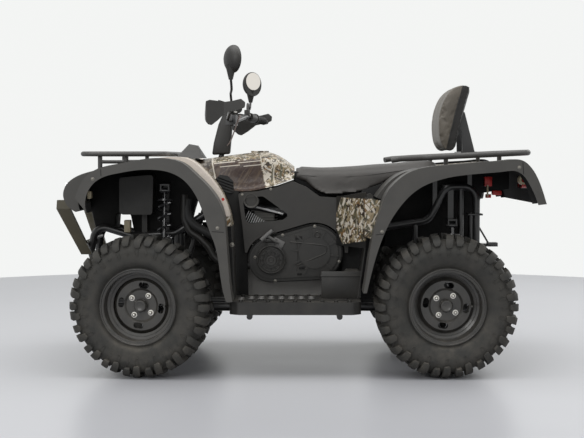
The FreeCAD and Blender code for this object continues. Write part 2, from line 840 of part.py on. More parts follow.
def belt_shape(grow, y0, y1):
    """The belt housing's outline round its two pulleys."""
    circles = []
    for x, z, r in (CVT_FRONT, CVT_REAR):
        circles.append(disc_y(r + grow, y0, y1, x, z))
    ax, az, ar = CVT_FRONT
    bx, bz, br = CVT_REAR
    run = math.hypot(bx - ax, bz - az)
    lean = math.asin((br - ar) / run)
    base = math.atan2(bz - az, bx - ax)
    outline = []
    for x, z, r, side in ((ax, az, ar, 1), (bx, bz, br, 1), (bx, bz, br, -1), (ax, az, ar, -1)):
        angle = base + side * (math.pi / 2 + lean)
        outline.append((x + (r + grow) * math.cos(angle), z + (r + grow) * math.sin(angle)))
    return fused([side_plate(outline, y0, y1)] + circles)


def cvt_cover():
    """The belt drive's housing on the left, stepped at its flange, with ribs on its face."""
    body = belt_shape(-8, -CVT_OUTER_Y + 10, -CVT_INNER_Y)
    flange = belt_shape(0, -CVT_OUTER_Y + 44, -CVT_OUTER_Y + 56)
    face = belt_shape(-22, -CVT_OUTER_Y, -CVT_OUTER_Y + 12)
    pieces = [body, flange, face]
    x, z, r = CVT_REAR
    pieces.append(disc_y(r - 58, -CVT_OUTER_Y - 8, -CVT_OUTER_Y, x, z))
    for i in range(10):
        rib = box(x + r - 62, x + r - 20, -CVT_OUTER_Y - 6, -CVT_OUTER_Y, z - 4, z + 4)
        pieces.append(rib.rotate(vec(x, 0, z), ACROSS, 36 * i + 8))
    return fused(pieces)


DUCT_DIAMETER = 34.0
DUCT_POINTS = [
    (-512, -158, 780), (-512, -160, 668), (-486, -164, 612), (-440, -170, 582),
    (-398, -176, 540), (-372, -180, 492), (-322, -186, 462), (-206, -186, 458),
]


def air_duct():
    """The belt drive's air hose, from under the front deck down to its housing's front."""
    points = [vec(*point) for point in DUCT_POINTS]
    hose = tube(points, DUCT_DIAMETER, 60)
    return hose.cut(placed(cvt_cover(), -FIT_GAP, 0, 0))


def recoil_starter():
    x, z, _ = CVT_FRONT
    y = -CVT_OUTER_Y - FIT_GAP
    drum = disc_y(56, y - 22, y, x, z)
    cap = disc_y(22, y - 28, y - 22, x, z)
    slots = []
    for i in range(12):
        slot = box(x + 30, x + 48, y - 30, y - 16, z - 3.5, z + 3.5)
        slots.append(slot.rotate(vec(x, 0, z), ACROSS, 30 * i))
    neck = box(x - 15, x + 15, y - 20, y - 4, z + 40, z + 80)
    grip = disc_x(9, x - 26, x + 26, y - 12, z + 88)
    return fused([drum, cap, neck, grip]).cut(Part.makeCompound(slots))


MUFFLER_Y = 200.0
MUFFLER_Z = 806.0
MUFFLER_RADIUS = 56.0
MUFFLER_X = (708.0, 905.0)


def exhaust():
    """Pipe from the cylinder's right side to a muffler under the right rear fender."""
    x0, x1 = MUFFLER_X
    can = disc_x(MUFFLER_RADIUS, x0, x1, MUFFLER_Y, MUFFLER_Z)
    rings = [disc_x(MUFFLER_RADIUS + 4, x, x + 8, MUFFLER_Y, MUFFLER_Z) for x in (x0 + 12, x1 - 20)]
    tail = disc_x(19, x1 - 2, x1 + 32, MUFFLER_Y, MUFFLER_Z + 12)
    start = vec(sum(CYLINDER_X) / 2, 74 + FIT_GAP, 640)
    route = [
        start,
        start + vec(0, 76, 0),
        vec(-60, 172, 600),
        vec(290, 172, 580),
        vec(452, 178, 607),
        vec(640, 194, 648),
        vec(x0 + 16, MUFFLER_Y, MUFFLER_Z - 16),
    ]
    pipe = tube(route, 38, 50)
    flange = disc_y(28, start.y, start.y + 8, start.x, start.z)
    return fused([can, tail, pipe, flange] + rings)


# Bodywork, drawn as lines in the side view from front to rear

FRONT_FLARE_TOP = [
    (-939, 778), (-931, 800), (-904, 855), (-840, 903), (-763, 922), (-678, 938),
    (-594, 948), (-537, 944), (-480, 926), (-438, 891), (-389, 844), (-340, 784),
    (-311, 722), (-299, 644), (-288, 490), (-270, 334),
]
FRONT_FLARE_ARCH = [
    (-889, 714), (-893, 778), (-861, 838), (-819, 866), (-750, 884), (-692, 894),
    (-608, 898), (-537, 887), (-488, 863), (-445, 820), (-410, 757), (-389, 700),
    (-364, 630), (-345, 580), (-322, 450), (-297, 334),
]
FRONT_BODY_TOP = [
    (-962, 712), (-1000, 742), (-1016, 778), (-1008, 822), (-960, 866), (-880, 893),
    (-780, 916), (-690, 934), (-600, 948), (-530, 953), (-462, 940), (-410, 900),
    (-365, 850), (-325, 790), (-297, 720), (-282, 650),
]
FRONT_BODY_BELOW = [
    (-944, 720), (-950, 745), (-950, 778), (-935, 820), (-900, 858), (-860, 879),
    (-775, 900), (-688, 918), (-600, 931), (-537, 932), (-486, 915), (-446, 881),
    (-398, 836), (-350, 778), (-325, 724), (-308, 650),
]
REAR_FLARE_TOP = [
    (288, 372), (308, 500), (329, 621), (347, 687), (366, 750), (392, 808),
    (435, 855), (472, 882), (523, 902), (596, 914), (699, 922), (787, 931),
    (880, 937), (962, 937), (1000, 905), (1027, 860), (1050, 800), (1065, 752),
]
REAR_FLARE_ARCH = [
    (303, 372), (334, 500), (377, 626), (407, 687), (447, 745), (487, 789),
    (538, 826), (575, 843), (611, 855), (655, 866), (699, 873), (801, 883),
    (880, 890), (940, 890), (972, 866), (990, 838), (1012, 795), (1030, 748),
]
REAR_BODY_TOP = [
    (352, 776), (395, 832), (440, 870), (500, 894), (600, 906), (700, 914),
    (800, 922), (880, 928), (950, 926), (992, 898), (1018, 854), (1040, 798),
    (1054, 750),
]
REAR_BODY_BELOW = [
    (376, 766), (412, 814), (452, 848), (506, 870), (600, 881), (700, 889),
    (800, 897), (870, 902), (934, 900), (972, 874), (998, 836), (1018, 786),
    (1032, 748),
]
TANK_HALF_WIDTH = 200.0


def flare(top, arch):
    """A left wheel-arch flare: a skin along its top line and a lip down its outer face."""
    solid = band(top, arch, -FLARE_OUTER_Y, -FLARE_INNER_Y)
    inner = band(offset_line(top, SKIN), offset_line(arch, 60), -FLARE_OUTER_Y + SKIN,
                 -FLARE_INNER_Y + 1)
    return solid.cut(inner)


def shell(top, below, half_width):
    """A skin along a top line with side walls down to a lower line, open underneath."""
    solid = band(top, below, -half_width, half_width)
    inner = band(offset_line(top, SKIN), offset_line(below, 120), -half_width + SKIN,
                 half_width - SKIN)
    return solid, inner


COWL_OPENING_X = -492.0
LAMP_Y = 262.0
LAMP_Z = 800.0
LAMP_WIDTH = 150.0
LAMP_HEIGHT = 62.0


def lamp_block(grow):
    """The left headlamp's body, grown by a clearance for the opening that it sits in."""
    half_w = LAMP_WIDTH / 2 + grow
    half_h = LAMP_HEIGHT / 2 + grow
    outline = [
        (-LAMP_Y - half_w, LAMP_Z + half_h + 12),
        (-LAMP_Y + half_w, LAMP_Z + half_h - 8),
        (-LAMP_Y + half_w, LAMP_Z - half_h - 8),
        (-LAMP_Y - half_w, LAMP_Z - half_h + 16),
    ]
    return front_plate(outline, -1024.0 - grow, -962.0, 16)


def front_body():
    """Nose, front deck and fender tops in one moulding, open round the tank and column."""
    half = FLARE_INNER_Y - FIT_GAP
    solid, inner = shell(FRONT_BODY_TOP, FRONT_BODY_BELOW, half)
    mouth = box(COWL_OPENING_X, 0, -TANK_HALF_WIDTH - 14, TANK_HALF_WIDTH + 14, 600, 1100)
    keep = box(COWL_OPENING_X - SKIN, 0, -TANK_HALF_WIDTH - 14 - SKIN,
               TANK_HALF_WIDTH + 14 + SKIN, 600, 1100)
    inner = inner.cut(keep)
    solid = solid.cut(mouth).cut(inner)
    lamps = both_sides(lamp_block(FIT_GAP))
    return solid.cut(lamps)


def headlamps():
    return both_sides(lamp_block(0))


def rear_body():
    """Rear deck with its fender tops, open where the seat sits."""
    half = FLARE_INNER_Y - FIT_GAP
    solid, inner = shell(REAR_BODY_TOP, REAR_BODY_BELOW, half)
    mouth = box(300, SEAT_REAR_X + 14, -SEAT_HALF_WIDTH - 14, SEAT_HALF_WIDTH + 14, 600, 1100)
    keep = box(300, SEAT_REAR_X + 14 + SKIN, -SEAT_HALF_WIDTH - 14 - SKIN,
               SEAT_HALF_WIDTH + 14 + SKIN, 600, 1100)
    solid = solid.cut(mouth).cut(inner.cut(keep))
    return solid.cut(both_sides(tail_block(FIT_GAP)))


def leg_panels():
    """The camouflaged panels behind the rider's legs, in front of the rear flares."""
    line = [(186, 252), (306, 470), (302, 474), (182, 256)]
    outline = [(x, -y) for x, y in line]
    panel = plan_plate(outline, 556, 800)
    cut = side_plate([(100, 776), (200, 776), (340, 812), (340, 900), (100, 900)], -600, 0)
    flange = plan_plate([(182, -254), (182, -PANEL_OUTER_Y - FIT_GAP), (330, -PANEL_OUTER_Y - FIT_GAP),
                         (330, -254)], 640, 646)
    return both_sides(panel.cut(cut).fuse(flange))


TAIL_Z = 842.0


def tail_block(grow):
    """The left tail lamp, grown by a clearance for its opening."""
    half_w = 58 + grow
    outline = [
        (-338 - half_w, TAIL_Z - 26 - grow),
        (-338 + half_w, TAIL_Z - 26 - grow),
        (-338 + half_w, TAIL_Z + 26 + grow),
        (-338 - half_w, TAIL_Z + 26 + grow),
    ]
    return front_plate(outline, 990.0, 1052.0 + grow, 14)


def tail_lamps():
    return both_sides(tail_block(0))


# Seat and tank

SEAT_HALF_WIDTH = 176.0
SEAT_REAR_X = 652.0


def section(x, low_z, low_half, mid_z, mid_half, top_z, crown):
    """A closed cross-section, wide below, with rounded shoulders and a crowned top."""
    shoulder = min(46.0, 0.4 * mid_half)
    points = [
        vec(x, -low_half, low_z),
        vec(x, -mid_half, mid_z),
        vec(x, -mid_half + 0.3 * shoulder, top_z - crown - 0.3 * shoulder),
        vec(x, -mid_half + shoulder, top_z - crown),
        vec(x, 0, top_z),
        vec(x, mid_half - shoulder, top_z - crown),
        vec(x, mid_half - 0.3 * shoulder, top_z - crown - 0.3 * shoulder),
        vec(x, mid_half, mid_z),
        vec(x, low_half, low_z),
    ]
    over = smooth_edge(points)
    under = Part.LineSegment(points[-1], points[0]).toShape()
    return Part.Wire([over, under])


SEAT_SECTIONS = [
    (6, 856, 124, 872, 128, 906, 10),
    (50, 832, 150, 862, 148, 904, 10),
    (120, 784, 190, 846, 166, 901, 10),
    (210, 782, 196, 846, 172, 904, 11),
    (300, 794, 190, 850, 176, 910, 12),
    (400, 838, 176, 866, 176, 918, 12),
    (500, 868, 176, 886, 176, 926, 12),
    (600, 880, 174, 902, 172, 936, 12),
    (652, 884, 168, 900, 164, 918, 8),
]
TANK_SECTIONS = [
    (-470, 902, 118, 918, 112, 936, 8),
    (-400, 866, 160, 896, 140, 948, 12),
    (-300, 806, 196, 878, 156, 962, 16),
    (-200, 800, 200, 872, 160, 974, 18),
    (-116, 818, 200, 878, 158, 972, 16),
    (-62, 834, 184, 876, 148, 948, 12),
    (-8, 856, 130, 876, 124, 908, 8),
]


def lofted(sections):
    return Part.makeLoft([section(*row) for row in sections], True, False)


def seat():
    return lofted(SEAT_SECTIONS)


def tank_cover():
    solid = lofted(TANK_SECTIONS)
    start = column_point(700)
    slot = rod(start, column_point(1060), COLUMN_DIAMETER + 44)
    filler = disc_z(42, 960, 981, -170, 0)
    return solid.fuse(filler).cut(slot)


VENT_THICKNESS = 10.0
VENT_BACK = 4.0
VENT_TILT = 30.0
VENT_LEAN = 20.0
VENT_SLATS = 6
VENT_FOOT = (-180.9, 836.0)
VENT_OUTLINE = [
    (-374, 846), (-346, 872), (-312, 866), (-286, 842), (-282, 790), (-318, 790), (-350, 812),
]


def vent_slab(inner, outer):
    """A slab between two depths, tilted to lie against the tank cover's left side."""
    slab = box(-420, -240, -outer, -inner, -90, 90)
    slab = slab.rotate(ORIGIN, vec(1, 0, 0), -VENT_TILT)
    slab.translate(vec(0, *VENT_FOOT))
    return slab


def air_vents():
    """The ribbed air outlets against the tank cover's sides, their slats sloping rearwards."""
    panel = vent_slab(0, VENT_THICKNESS).common(side_plate(VENT_OUTLINE, -300, -60, 0))
    slats = []
    for i in range(VENT_SLATS):
        z = 862 - 13 * i
        slat = box(-400, -262, -300, -60, z, z + 6)
        slats.append(slat.rotate(vec(-376, 0, z), ACROSS, VENT_LEAN))
    cuts = Part.makeCompound(slats).common(vent_slab(VENT_BACK, 60))
    return both_sides(panel.cut(cuts))


PANEL_TOP = [
    (-262, 791), (-175, 797), (-89, 815), (-14, 842), (45, 818), (109, 773),
    (202, 767), (278, 773), (348, 792),
]


def side_panel():
    """The left side cover with its window, cut round the belt housing."""
    outline = PANEL_TOP + [(348, 700), (330, 640), (240, 600), (232, 480), (-226, 480), (-242, 640)]
    plate = side_plate(outline, -PANEL_OUTER_Y, -PANEL_INNER_Y, 14)
    window = side_plate([(-240, 765), (-150, 776), (-30, 690), (-60, 668), (-226, 650)],
                        -PANEL_OUTER_Y - 10, -PANEL_INNER_Y + 10, 26)
    around = belt_shape(8, -PANEL_OUTER_Y - 30, -PANEL_INNER_Y + 30)
    below = box(-300, 400, -PANEL_OUTER_Y - 10, -PANEL_INNER_Y + 10, 300, 520)
    solid = plate.cut(window).cut(around).cut(below)
    solid = solid.common(box(-600, 600, -PANEL_OUTER_Y, -PANEL_INNER_Y, 0, 2000))
    pegs = [disc_y(28, -PANEL_OUTER_Y + 4, -PANEL_INNER_Y, -195, 753)]
    for x in (0.0, 250.0):
        rail_side = -FRAME_Y - FRAME_TUBE / 2 - FIT_GAP
        pegs.append(disc_y(9, -PANEL_INNER_Y - 4, rail_side, x, loop_height(x, True)))
    return solid.multiFuse(pegs)


def footwell():
    """The left footboard, hollow underneath, with its front and rear walls and boot pegs."""
    x0, x1 = FLOOR_FRONT_X, FLOOR_REAR_X
    y0, y1 = -FLOOR_OUTER_Y, -FLOOR_INNER_Y
    low = FRAME_BOTTOM_Z + CROSS_TUBE / 2 + FIT_GAP
    outline = [(x0, y1), (x1, y1), (x1, y0 + 30), (x1 - 40, y0), (x0 + 40, y0), (x0, y0 + 30)]
    tray = plan_plate(outline, low, FLOOR_TOP_Z, 30)
    inner = [(x0 + SKIN, y1 - SKIN), (x1 - SKIN, y1 - SKIN), (x1 - SKIN, y0 + 32),
             (x1 - 42, y0 + SKIN), (x0 + 42, y0 + SKIN), (x0 + SKIN, y0 + 32)]
    tray = tray.cut(plan_plate(inner, low - 1, FLOOR_TOP_Z - SKIN, 26))
    pieces = [tray]
    for i in range(9):
        x = x0 + 50 + i * (x1 - x0 - 100) / 8
        pieces.append(disc_z(9, FLOOR_TOP_Z - 2, FLOOR_TOP_Z + 9, x, y0 + 22))
        pieces.append(disc_z(9, FLOOR_TOP_Z - 2, FLOOR_TOP_Z + 9, x, y1 - 60))
    for i in range(4):
        y = y0 + 70 + i * 50
        pieces.append(box(x0 + 60, x1 - 60, y - 5, y + 5, FLOOR_TOP_Z - 2, FLOOR_TOP_Z + 4))
    front = side_plate([(x0 + 14, FLOOR_TOP_Z - 3), (x0 + 14 + SKIN, FLOOR_TOP_Z - 3),
                        (-278, 648), (-278 - SKIN, 648)], -FLARE_INNER_Y + FIT_GAP, y1)
    rear = side_plate([(x1 - 10, FLOOR_TOP_Z - 3), (x1 - 10 - SKIN, FLOOR_TOP_Z - 3),
                       (300, 552), (300 + SKIN, 552)], -FLARE_INNER_Y + FIT_GAP, y1 + 4)
    step = side_plate([(x1 - 150, FLOOR_TOP_Z - 2), (x1 - 8, FLOOR_TOP_Z - 2), (x1 + 4, 452),
                       (x1 - 60, 452)], y0 + 130, y1 - 30, 14)
    return fused(pieces + [front, rear, step])


def instrument_hood():
    """The dark pointed cover on the front deck, ahead of the column."""
    base = [vec(-556, -118, 946), vec(-428, -120, 946), vec(-428, 120, 946), vec(-556, 118, 946)]
    top = [vec(-500, -34, 1013), vec(-462, -38, 1006), vec(-462, 38, 1006), vec(-500, 34, 1013)]
    wires = [Part.makePolygon(base + base[:1]), Part.makePolygon(top + top[:1])]
    hood = Part.makeLoft(wires, True, True)
    deck = band(offset_line(FRONT_BODY_TOP, -FIT_GAP), FRONT_BODY_BELOW, -500, 500)
    return hood.cut(deck).cut(placed(tank_cover(), 0, 0, FIT_GAP))


def storage_box():
    """The dark box between the front springs, on two legs that straddle the frame."""
    case = side_plate([(-805, 700), (-790, 690), (-655, 690), (-649, 872), (-805, 858)],
                      -196, 196, 14)
    legs = []
    rails = []
    for y in (-FRAME_Y, FRAME_Y):
        rail_z = loop_height(-700.0, True)
        legs.append(box(-712, -688, y - 12, y + 12, rail_z, 694))
        start = vec(-560, y, loop_height(-560.0, True))
        rails.append(rod(start, vec(-760, y, loop_height(-760.0, True)), FRAME_TUBE + 2 * FIT_GAP))
        rails.append(box(-760, -560, y - 20, y + 20, 500, rail_z + 2))
    return fused([case] + legs).cut(Part.makeCompound(rails))


# Racks, bumper and backrest

FRONT_RACK_Z = 966.0
FRONT_RACK_Y = 402.0
FRONT_RACK_X = (-938.0, -572.0)
RACK_TUBE = 22.0
RACK_BAR = 16.0


def front_rack():
    """A rail round a grid of bars, on four legs that stand on the front deck."""
    z = FRONT_RACK_Z
    y = FRONT_RACK_Y
    x0, x1 = FRONT_RACK_X
    corners = [vec(x0, -y, z), vec(x1, -y, z), vec(x1, y, z), vec(x0, y, z)]
    pieces = [tube(corners, RACK_TUBE, 46, True)]
    for y_bar in (-270, -135, 0, 135, 270):
        pieces.append(disc_x(RACK_BAR / 2, x0, x1, y_bar, z))
    for x in (-862, -747, -650):
        pieces.append(disc_y(RACK_BAR / 2, -y, y, x, z - 3))
    for side in (-1, 1):
        for x in (-862, -747):
            foot = line_height(FRONT_BODY_TOP, x) - 5
            pieces.append(disc_z(10, foot, z - 3, x, side * 372))
        pieces.append(disc_x(8, -862, -747, side * 372, 931))
    deck = band(offset_line(FRONT_BODY_TOP, -FIT_GAP), FRONT_BODY_BELOW, -500, 500)
    return fused(pieces).cut(deck)


REAR_RACK_X = (547.0, 1018.0)
REAR_RACK_Z = (950.0, 972.0)
REAR_RACK_Y = 414.0
REAR_RACK_TUBE = 26.0
BACKREST_BARS = (768.0, 822.0)


def rear_rack_height(x):
    x0, x1 = REAR_RACK_X
    z0, z1 = REAR_RACK_Z
    return z0 + (z1 - z0) * (x - x0) / (x1 - x0)


def rear_rack():
    """The rear rail with its grab handles, cross bars and four legs on the rear deck."""
    y = REAR_RACK_Y
    x0, x1 = REAR_RACK_X
    rail = [
        vec(432, -244, 938), vec(470, -262, 944), vec(x0 + 20, -y, rear_rack_height(x0)),
        vec(x1, -y, rear_rack_height(x1)), vec(x1, y, rear_rack_height(x1)),
        vec(x0 + 20, y, rear_rack_height(x0)), vec(470, 262, 944), vec(432, 244, 938),
    ]
    pieces = [tube(rail, REAR_RACK_TUBE, 46)]
    for x in (664.0, 900.0, 960.0) + BACKREST_BARS:
        pieces.append(disc_y(RACK_BAR / 2, -y, y, x, rear_rack_height(x)))
    for y_bar in (-250, -125, 0, 125, 250):
        pieces.append(rod(vec(664, y_bar, rear_rack_height(664)),
                          vec(x1, y_bar, rear_rack_height(x1)), RACK_BAR))
    for side in (-1, 1):
        for x in (664.0, 900.0):
            foot = line_height(REAR_BODY_TOP, x) - 5
            pieces.append(disc_z(10, foot, rear_rack_height(x), x, side * 330))
    deck = band(offset_line(REAR_BODY_TOP, -FIT_GAP), REAR_BODY_BELOW, -500, 500)
    return fused(pieces).cut(deck)


BUMPER_TOP_Y = 318.0
BUMPER_LOW_Y = 215.0
BUMPER_LOW_Z = 511.0
BUMPER_BEND_Z = 722.0
BUMPER_TOP_Z = 761.0
BUMPER_THICKNESS = 26.0


def bumper_level(x0, x1, y, z):
    """Corners of the bumper's side member at one height."""
    half = BUMPER_THICKNESS / 2
    return [vec(x0, y - half, z), vec(x1, y - half, z), vec(x1, y + half, z), vec(x0, y + half, z)]


def front_bumper():
    """Two flat side members that spread upwards, joined by two round bars."""
    levels = [
        bumper_level(-974, -926, -BUMPER_LOW_Y, BUMPER_LOW_Z),
        bumper_level(-1065, -1004, -BUMPER_TOP_Y, BUMPER_BEND_Z),
        bumper_level(-1062, -1014, -BUMPER_TOP_Y, BUMPER_TOP_Z),
    ]
    faces = [flat_face(levels[0]), flat_face(levels[-1])]
    for lower, upper in zip(levels, levels[1:]):
        for i in range(4):
            j = (i + 1) % 4
            faces.append(flat_face([lower[i], lower[j], upper[j], upper[i]]))
    member = flat_solid(faces)
    low_z = 552.0
    low_x = frame_front_x(low_z) - FRAME_TUBE / 2 - 14.5 - FIT_GAP
    low_y = BUMPER_LOW_Y + (BUMPER_TOP_Y - BUMPER_LOW_Y) * (low_z - BUMPER_LOW_Z) / (
        BUMPER_BEND_Z - BUMPER_LOW_Z)
    pieces = [
        member,
        mirrored(member),
        disc_y(14, -low_y, low_y, low_x, low_z),
        disc_y(14, -BUMPER_TOP_Y, BUMPER_TOP_Y, -1042, 736),
    ]
    return fused(pieces)


def frame_front_x(z):
    """Station of the side loop's front tube at a height between its two upper front corners."""
    (x0, z0), (x1, z1) = FRAME_LOOP[11], FRAME_LOOP[12]
    return x0 + (x1 - x0) * (z - z0) / (z1 - z0)


PAD_BACK = [(704.0, 978.0), (796.0, 1276.0)]
PAD_HALF_WIDTH = 172.0


def backrest_pad():
    """The passenger's padded back, bulging forwards."""
    outline = [vec(x, -PAD_HALF_WIDTH, z) for x, z in
               [(704, 978), (662, 980), (628, 1062), (643, 1185), (700, 1262), (760, 1283),
                (796, 1276)]]
    front = smooth_edge(outline)
    back = Part.LineSegment(outline[-1], outline[0]).toShape()
    return Part.Face(Part.Wire([front, back])).extrude(vec(0, 2 * PAD_HALF_WIDTH, 0))


def backrest_frame():
    """Two plates behind the pad, with a foot on the rack's bars."""
    foot_z = rear_rack_height(BACKREST_BARS[1]) + RACK_BAR / 2 + FIT_GAP
    outline = [(740, 1096), (758, 1160), (776, 1158), (824, foot_z + 2), (766, foot_z + 2),
               (764, 1070), (756, 1090)]
    pieces = [box(758, 832, -118, 118, foot_z, foot_z + 6)]
    for side in (-1, 1):
        y = side * 100
        pieces.append(side_plate(outline, y - 5, y + 5))
    solid = fused(pieces)
    (x0, z0), (x1, z1) = PAD_BACK
    grown = side_plate([(x0 + FIT_GAP + 0.1, z0), (x1 + FIT_GAP + 0.1, z1), (x1 - 200, z1), (x0 - 200, z0)],
                       -200, 200)
    return solid.cut(grown)


# Steering group, built straight ahead

def steering_column():
    """Column with its clamp under the handlebar and the arm that moves the two rods."""
    axis = column_axis()
    base = column_point(COLUMN_BASE_Z)
    top = column_point(COLUMN_TOP_Z)
    pieces = [rod(base - axis * 6, top, COLUMN_DIAMETER)]
    tilt = -COLUMN_TILT
    arm = box(base.x - STEERING_ARM, base.x + 14, -12, 12, base.z - 6, base.z + 6)
    eye = disc_z(12, base.z - 6, base.z + 6, base.x - STEERING_ARM, 0)
    stud = disc_z(7, base.z - 26, base.z + 26, base.x - STEERING_ARM, 0)
    for piece in (arm, eye, stud):
        pieces.append(piece.rotate(base, ACROSS, -tilt))
    clamp = box(top.x - 24, top.x + 24, -34, 34, top.z - 6, top.z + 40)
    pieces.append(clamp)
    solid = fused(pieces)
    return solid.cut(disc_y(HANDLEBAR_DIAMETER / 2 + FIT_GAP, -40, 40, top.x, top.z + 18))


def bar_points():
    top = column_point(COLUMN_TOP_Z)
    z = top.z + 18
    return [
        vec(-206, -438, 1146), vec(-268, -236, 1158), vec(top.x, -96, z), vec(top.x, 96, z),
        vec(-268, 236, 1158), vec(-206, 438, 1146),
    ]


def handlebar():
    return tube(bar_points(), HANDLEBAR_DIAMETER, 60)


def grip_frame():
    """Where the left grip starts, and the unit vector along it."""
    points = bar_points()
    way = (points[0] - points[1]).normalize()
    return points[0] + way * 4, way


def controls():
    """Left grip, switch box, lever and perch."""
    end, way = grip_frame()
    grip = rod(end - way * GRIP_LENGTH, end, GRIP_DIAMETER)
    flange = rod(end - way * GRIP_LENGTH, end - way * (GRIP_LENGTH - 6), GRIP_DIAMETER + 16)
    perch = rod(end - way * (GRIP_LENGTH + 62), end - way * (GRIP_LENGTH + 4), 44)
    start = end - way * (GRIP_LENGTH + 40)
    lever = tube([start, start + vec(-52, -10, 4), start + vec(-58, -40, 2) + way * 60,
                  end + vec(-44, 0, -6)], 13, 30)
    solid = fused([grip, flange, perch, lever])
    bore = rod(end - way * (GRIP_LENGTH + 90), end - way * 4, HANDLEBAR_DIAMETER + 2 * FIT_GAP)
    return both_sides(solid.cut(bore))


GUARD_SIDE = [
    (-352, 1180), (-330, 1186), (-256, 1174), (-226, 1178), (-188, 1187), (-170, 1172),
    (-172, 1150), (-196, 1140), (-254, 1128), (-292, 1096), (-322, 1076), (-338, 1080),
    (-358, 1102), (-362, 1125),
]


def hand_guards():
    """The left wind guard: a wrapped shield that narrows to its mount on the bar end."""
    end, way = grip_frame()
    outline = [(-150, -474), (-262, -480), (-348, -434), (-378, -330), (-372, -236),
               (-365, -238), (-370, -330), (-342, -429), (-262, -473), (-150, -467)]
    shield = plan_plate(outline, 1070, 1190, 0)
    shape = side_plate(GUARD_SIDE, -500, -200, 8)
    foot = rod(end + way * FIT_GAP, end + way * 26, 24)
    return both_sides(shield.common(shape).fuse(foot))


MIRROR_WIDTH = 112.0
MIRROR_HEIGHT = 122.0
MIRROR_DEPTH = 36.0
MIRROR_TURN = 42.0
MIRROR_Y = 408.0
MIRROR_PLACES = ((-1, -232.0, 1366.0), (1, -262.0, 1330.0))


def mirror_head():
    """A domed housing with its flat glass side facing rearwards, and the boot under it."""
    dome = Part.makeSphere(1.0)
    grow = FreeCAD.Matrix()
    grow.scale(vec(MIRROR_DEPTH, MIRROR_WIDTH / 2, MIRROR_HEIGHT / 2))
    dome = dome.transformGeometry(grow)
    dome = dome.common(box(-100, 6, -100, 100, -100, 100))
    boot = Part.makeCone(9, 24, 62, vec(-13, 0, -MIRROR_HEIGHT / 2 - 30), UP)
    return dome.fuse(boot)


def mirrors():
    """Both mirrors on their stems, each turned towards the rider."""
    points = bar_points()
    bar = rod(points[0], points[1], HANDLEBAR_DIAMETER + 2 * FIT_GAP)
    pieces = []
    for side, x, z in MIRROR_PLACES:
        head = mirror_head().rotate(ORIGIN, UP, -side * MIRROR_TURN)
        head.translate(vec(x, side * MIRROR_Y, z))
        low = vec(x - 13 * math.cos(math.radians(MIRROR_TURN)),
                  side * (MIRROR_Y + 13 * math.sin(math.radians(MIRROR_TURN))),
                  z - MIRROR_HEIGHT / 2 - 24)
        stem = tube([vec(-264, side * 250, 1184), vec(-266, side * 268, 1226),
                     vec(low.x, low.y - side * 26, low.z - 46), low], 11, 50)
        clamp = box(-278, -252, -258, -240, 1160, 1190)
        if side > 0:
            clamp = mirrored(clamp)
        grip = bar if side < 0 else mirrored(bar)
        pieces.append(fused([head, stem, clamp]).cut(grip))
    return Part.makeCompound(pieces)


def instrument_pod():
    top = column_point(COLUMN_TOP_Z)
    dial = Part.makeCylinder(46, 34, vec(top.x - 30, 0, top.z + 66), column_axis())
    foot = box(top.x - 20, top.x + 20, -20, 20, top.z + 40 + FIT_GAP, top.z + 78)
    return dial.fuse(foot)


def tie_rod(side):
    """A rod from the column's arm to one upright. Side is -1 on the left and 1 on the right."""
    base = column_point(COLUMN_BASE_Z)
    axis = column_axis()
    arm = axis.cross(ACROSS) * STEERING_ARM
    pivot = base + arm
    near = pivot - axis * (side * 17)
    far_z = HUB_Z + STEERING_ARM_RISE - FIT_GAP - TIE_ROD_DROP
    far = vec(FRONT_AXLE_X - STEERING_ARM, side * FRONT_UPRIGHT_Y, far_z)
    run = (far - near).normalize()
    ring = rod(near - axis * 7, near + axis * 7, 26)
    bore = rod(near - axis * 20, near + axis * 20, 14 + 2 * FIT_GAP)
    eye = disc_z(12, far_z - 10, far_z + TIE_ROD_DROP, far.x, far.y)
    bar = rod(near + run * 10, far, TIE_ROD_DIAMETER)
    whole = fused([ring, eye, bar]).cut(bore)
    whole.translate(FreeCAD.Rotation(axis, STEER_AT_REST).multVec(arm) - arm)
    return whole


def tow_hitch():
    """The rear tongue with the hole for a towing ball."""
    x = 832 + CROSS_TUBE / 2 + FIT_GAP
    plate = box(x, x + 92, -34, 34, HITCH_Z - 6, HITCH_Z + 6)
    back = box(x, x + 8, -44, 44, HITCH_Z - 40, HITCH_Z + 40)
    return plate.fuse(back).cut(disc_z(13, HITCH_Z - 20, HITCH_Z + 20, x + 62, 0))


# The whole vehicle, one file for each named piece

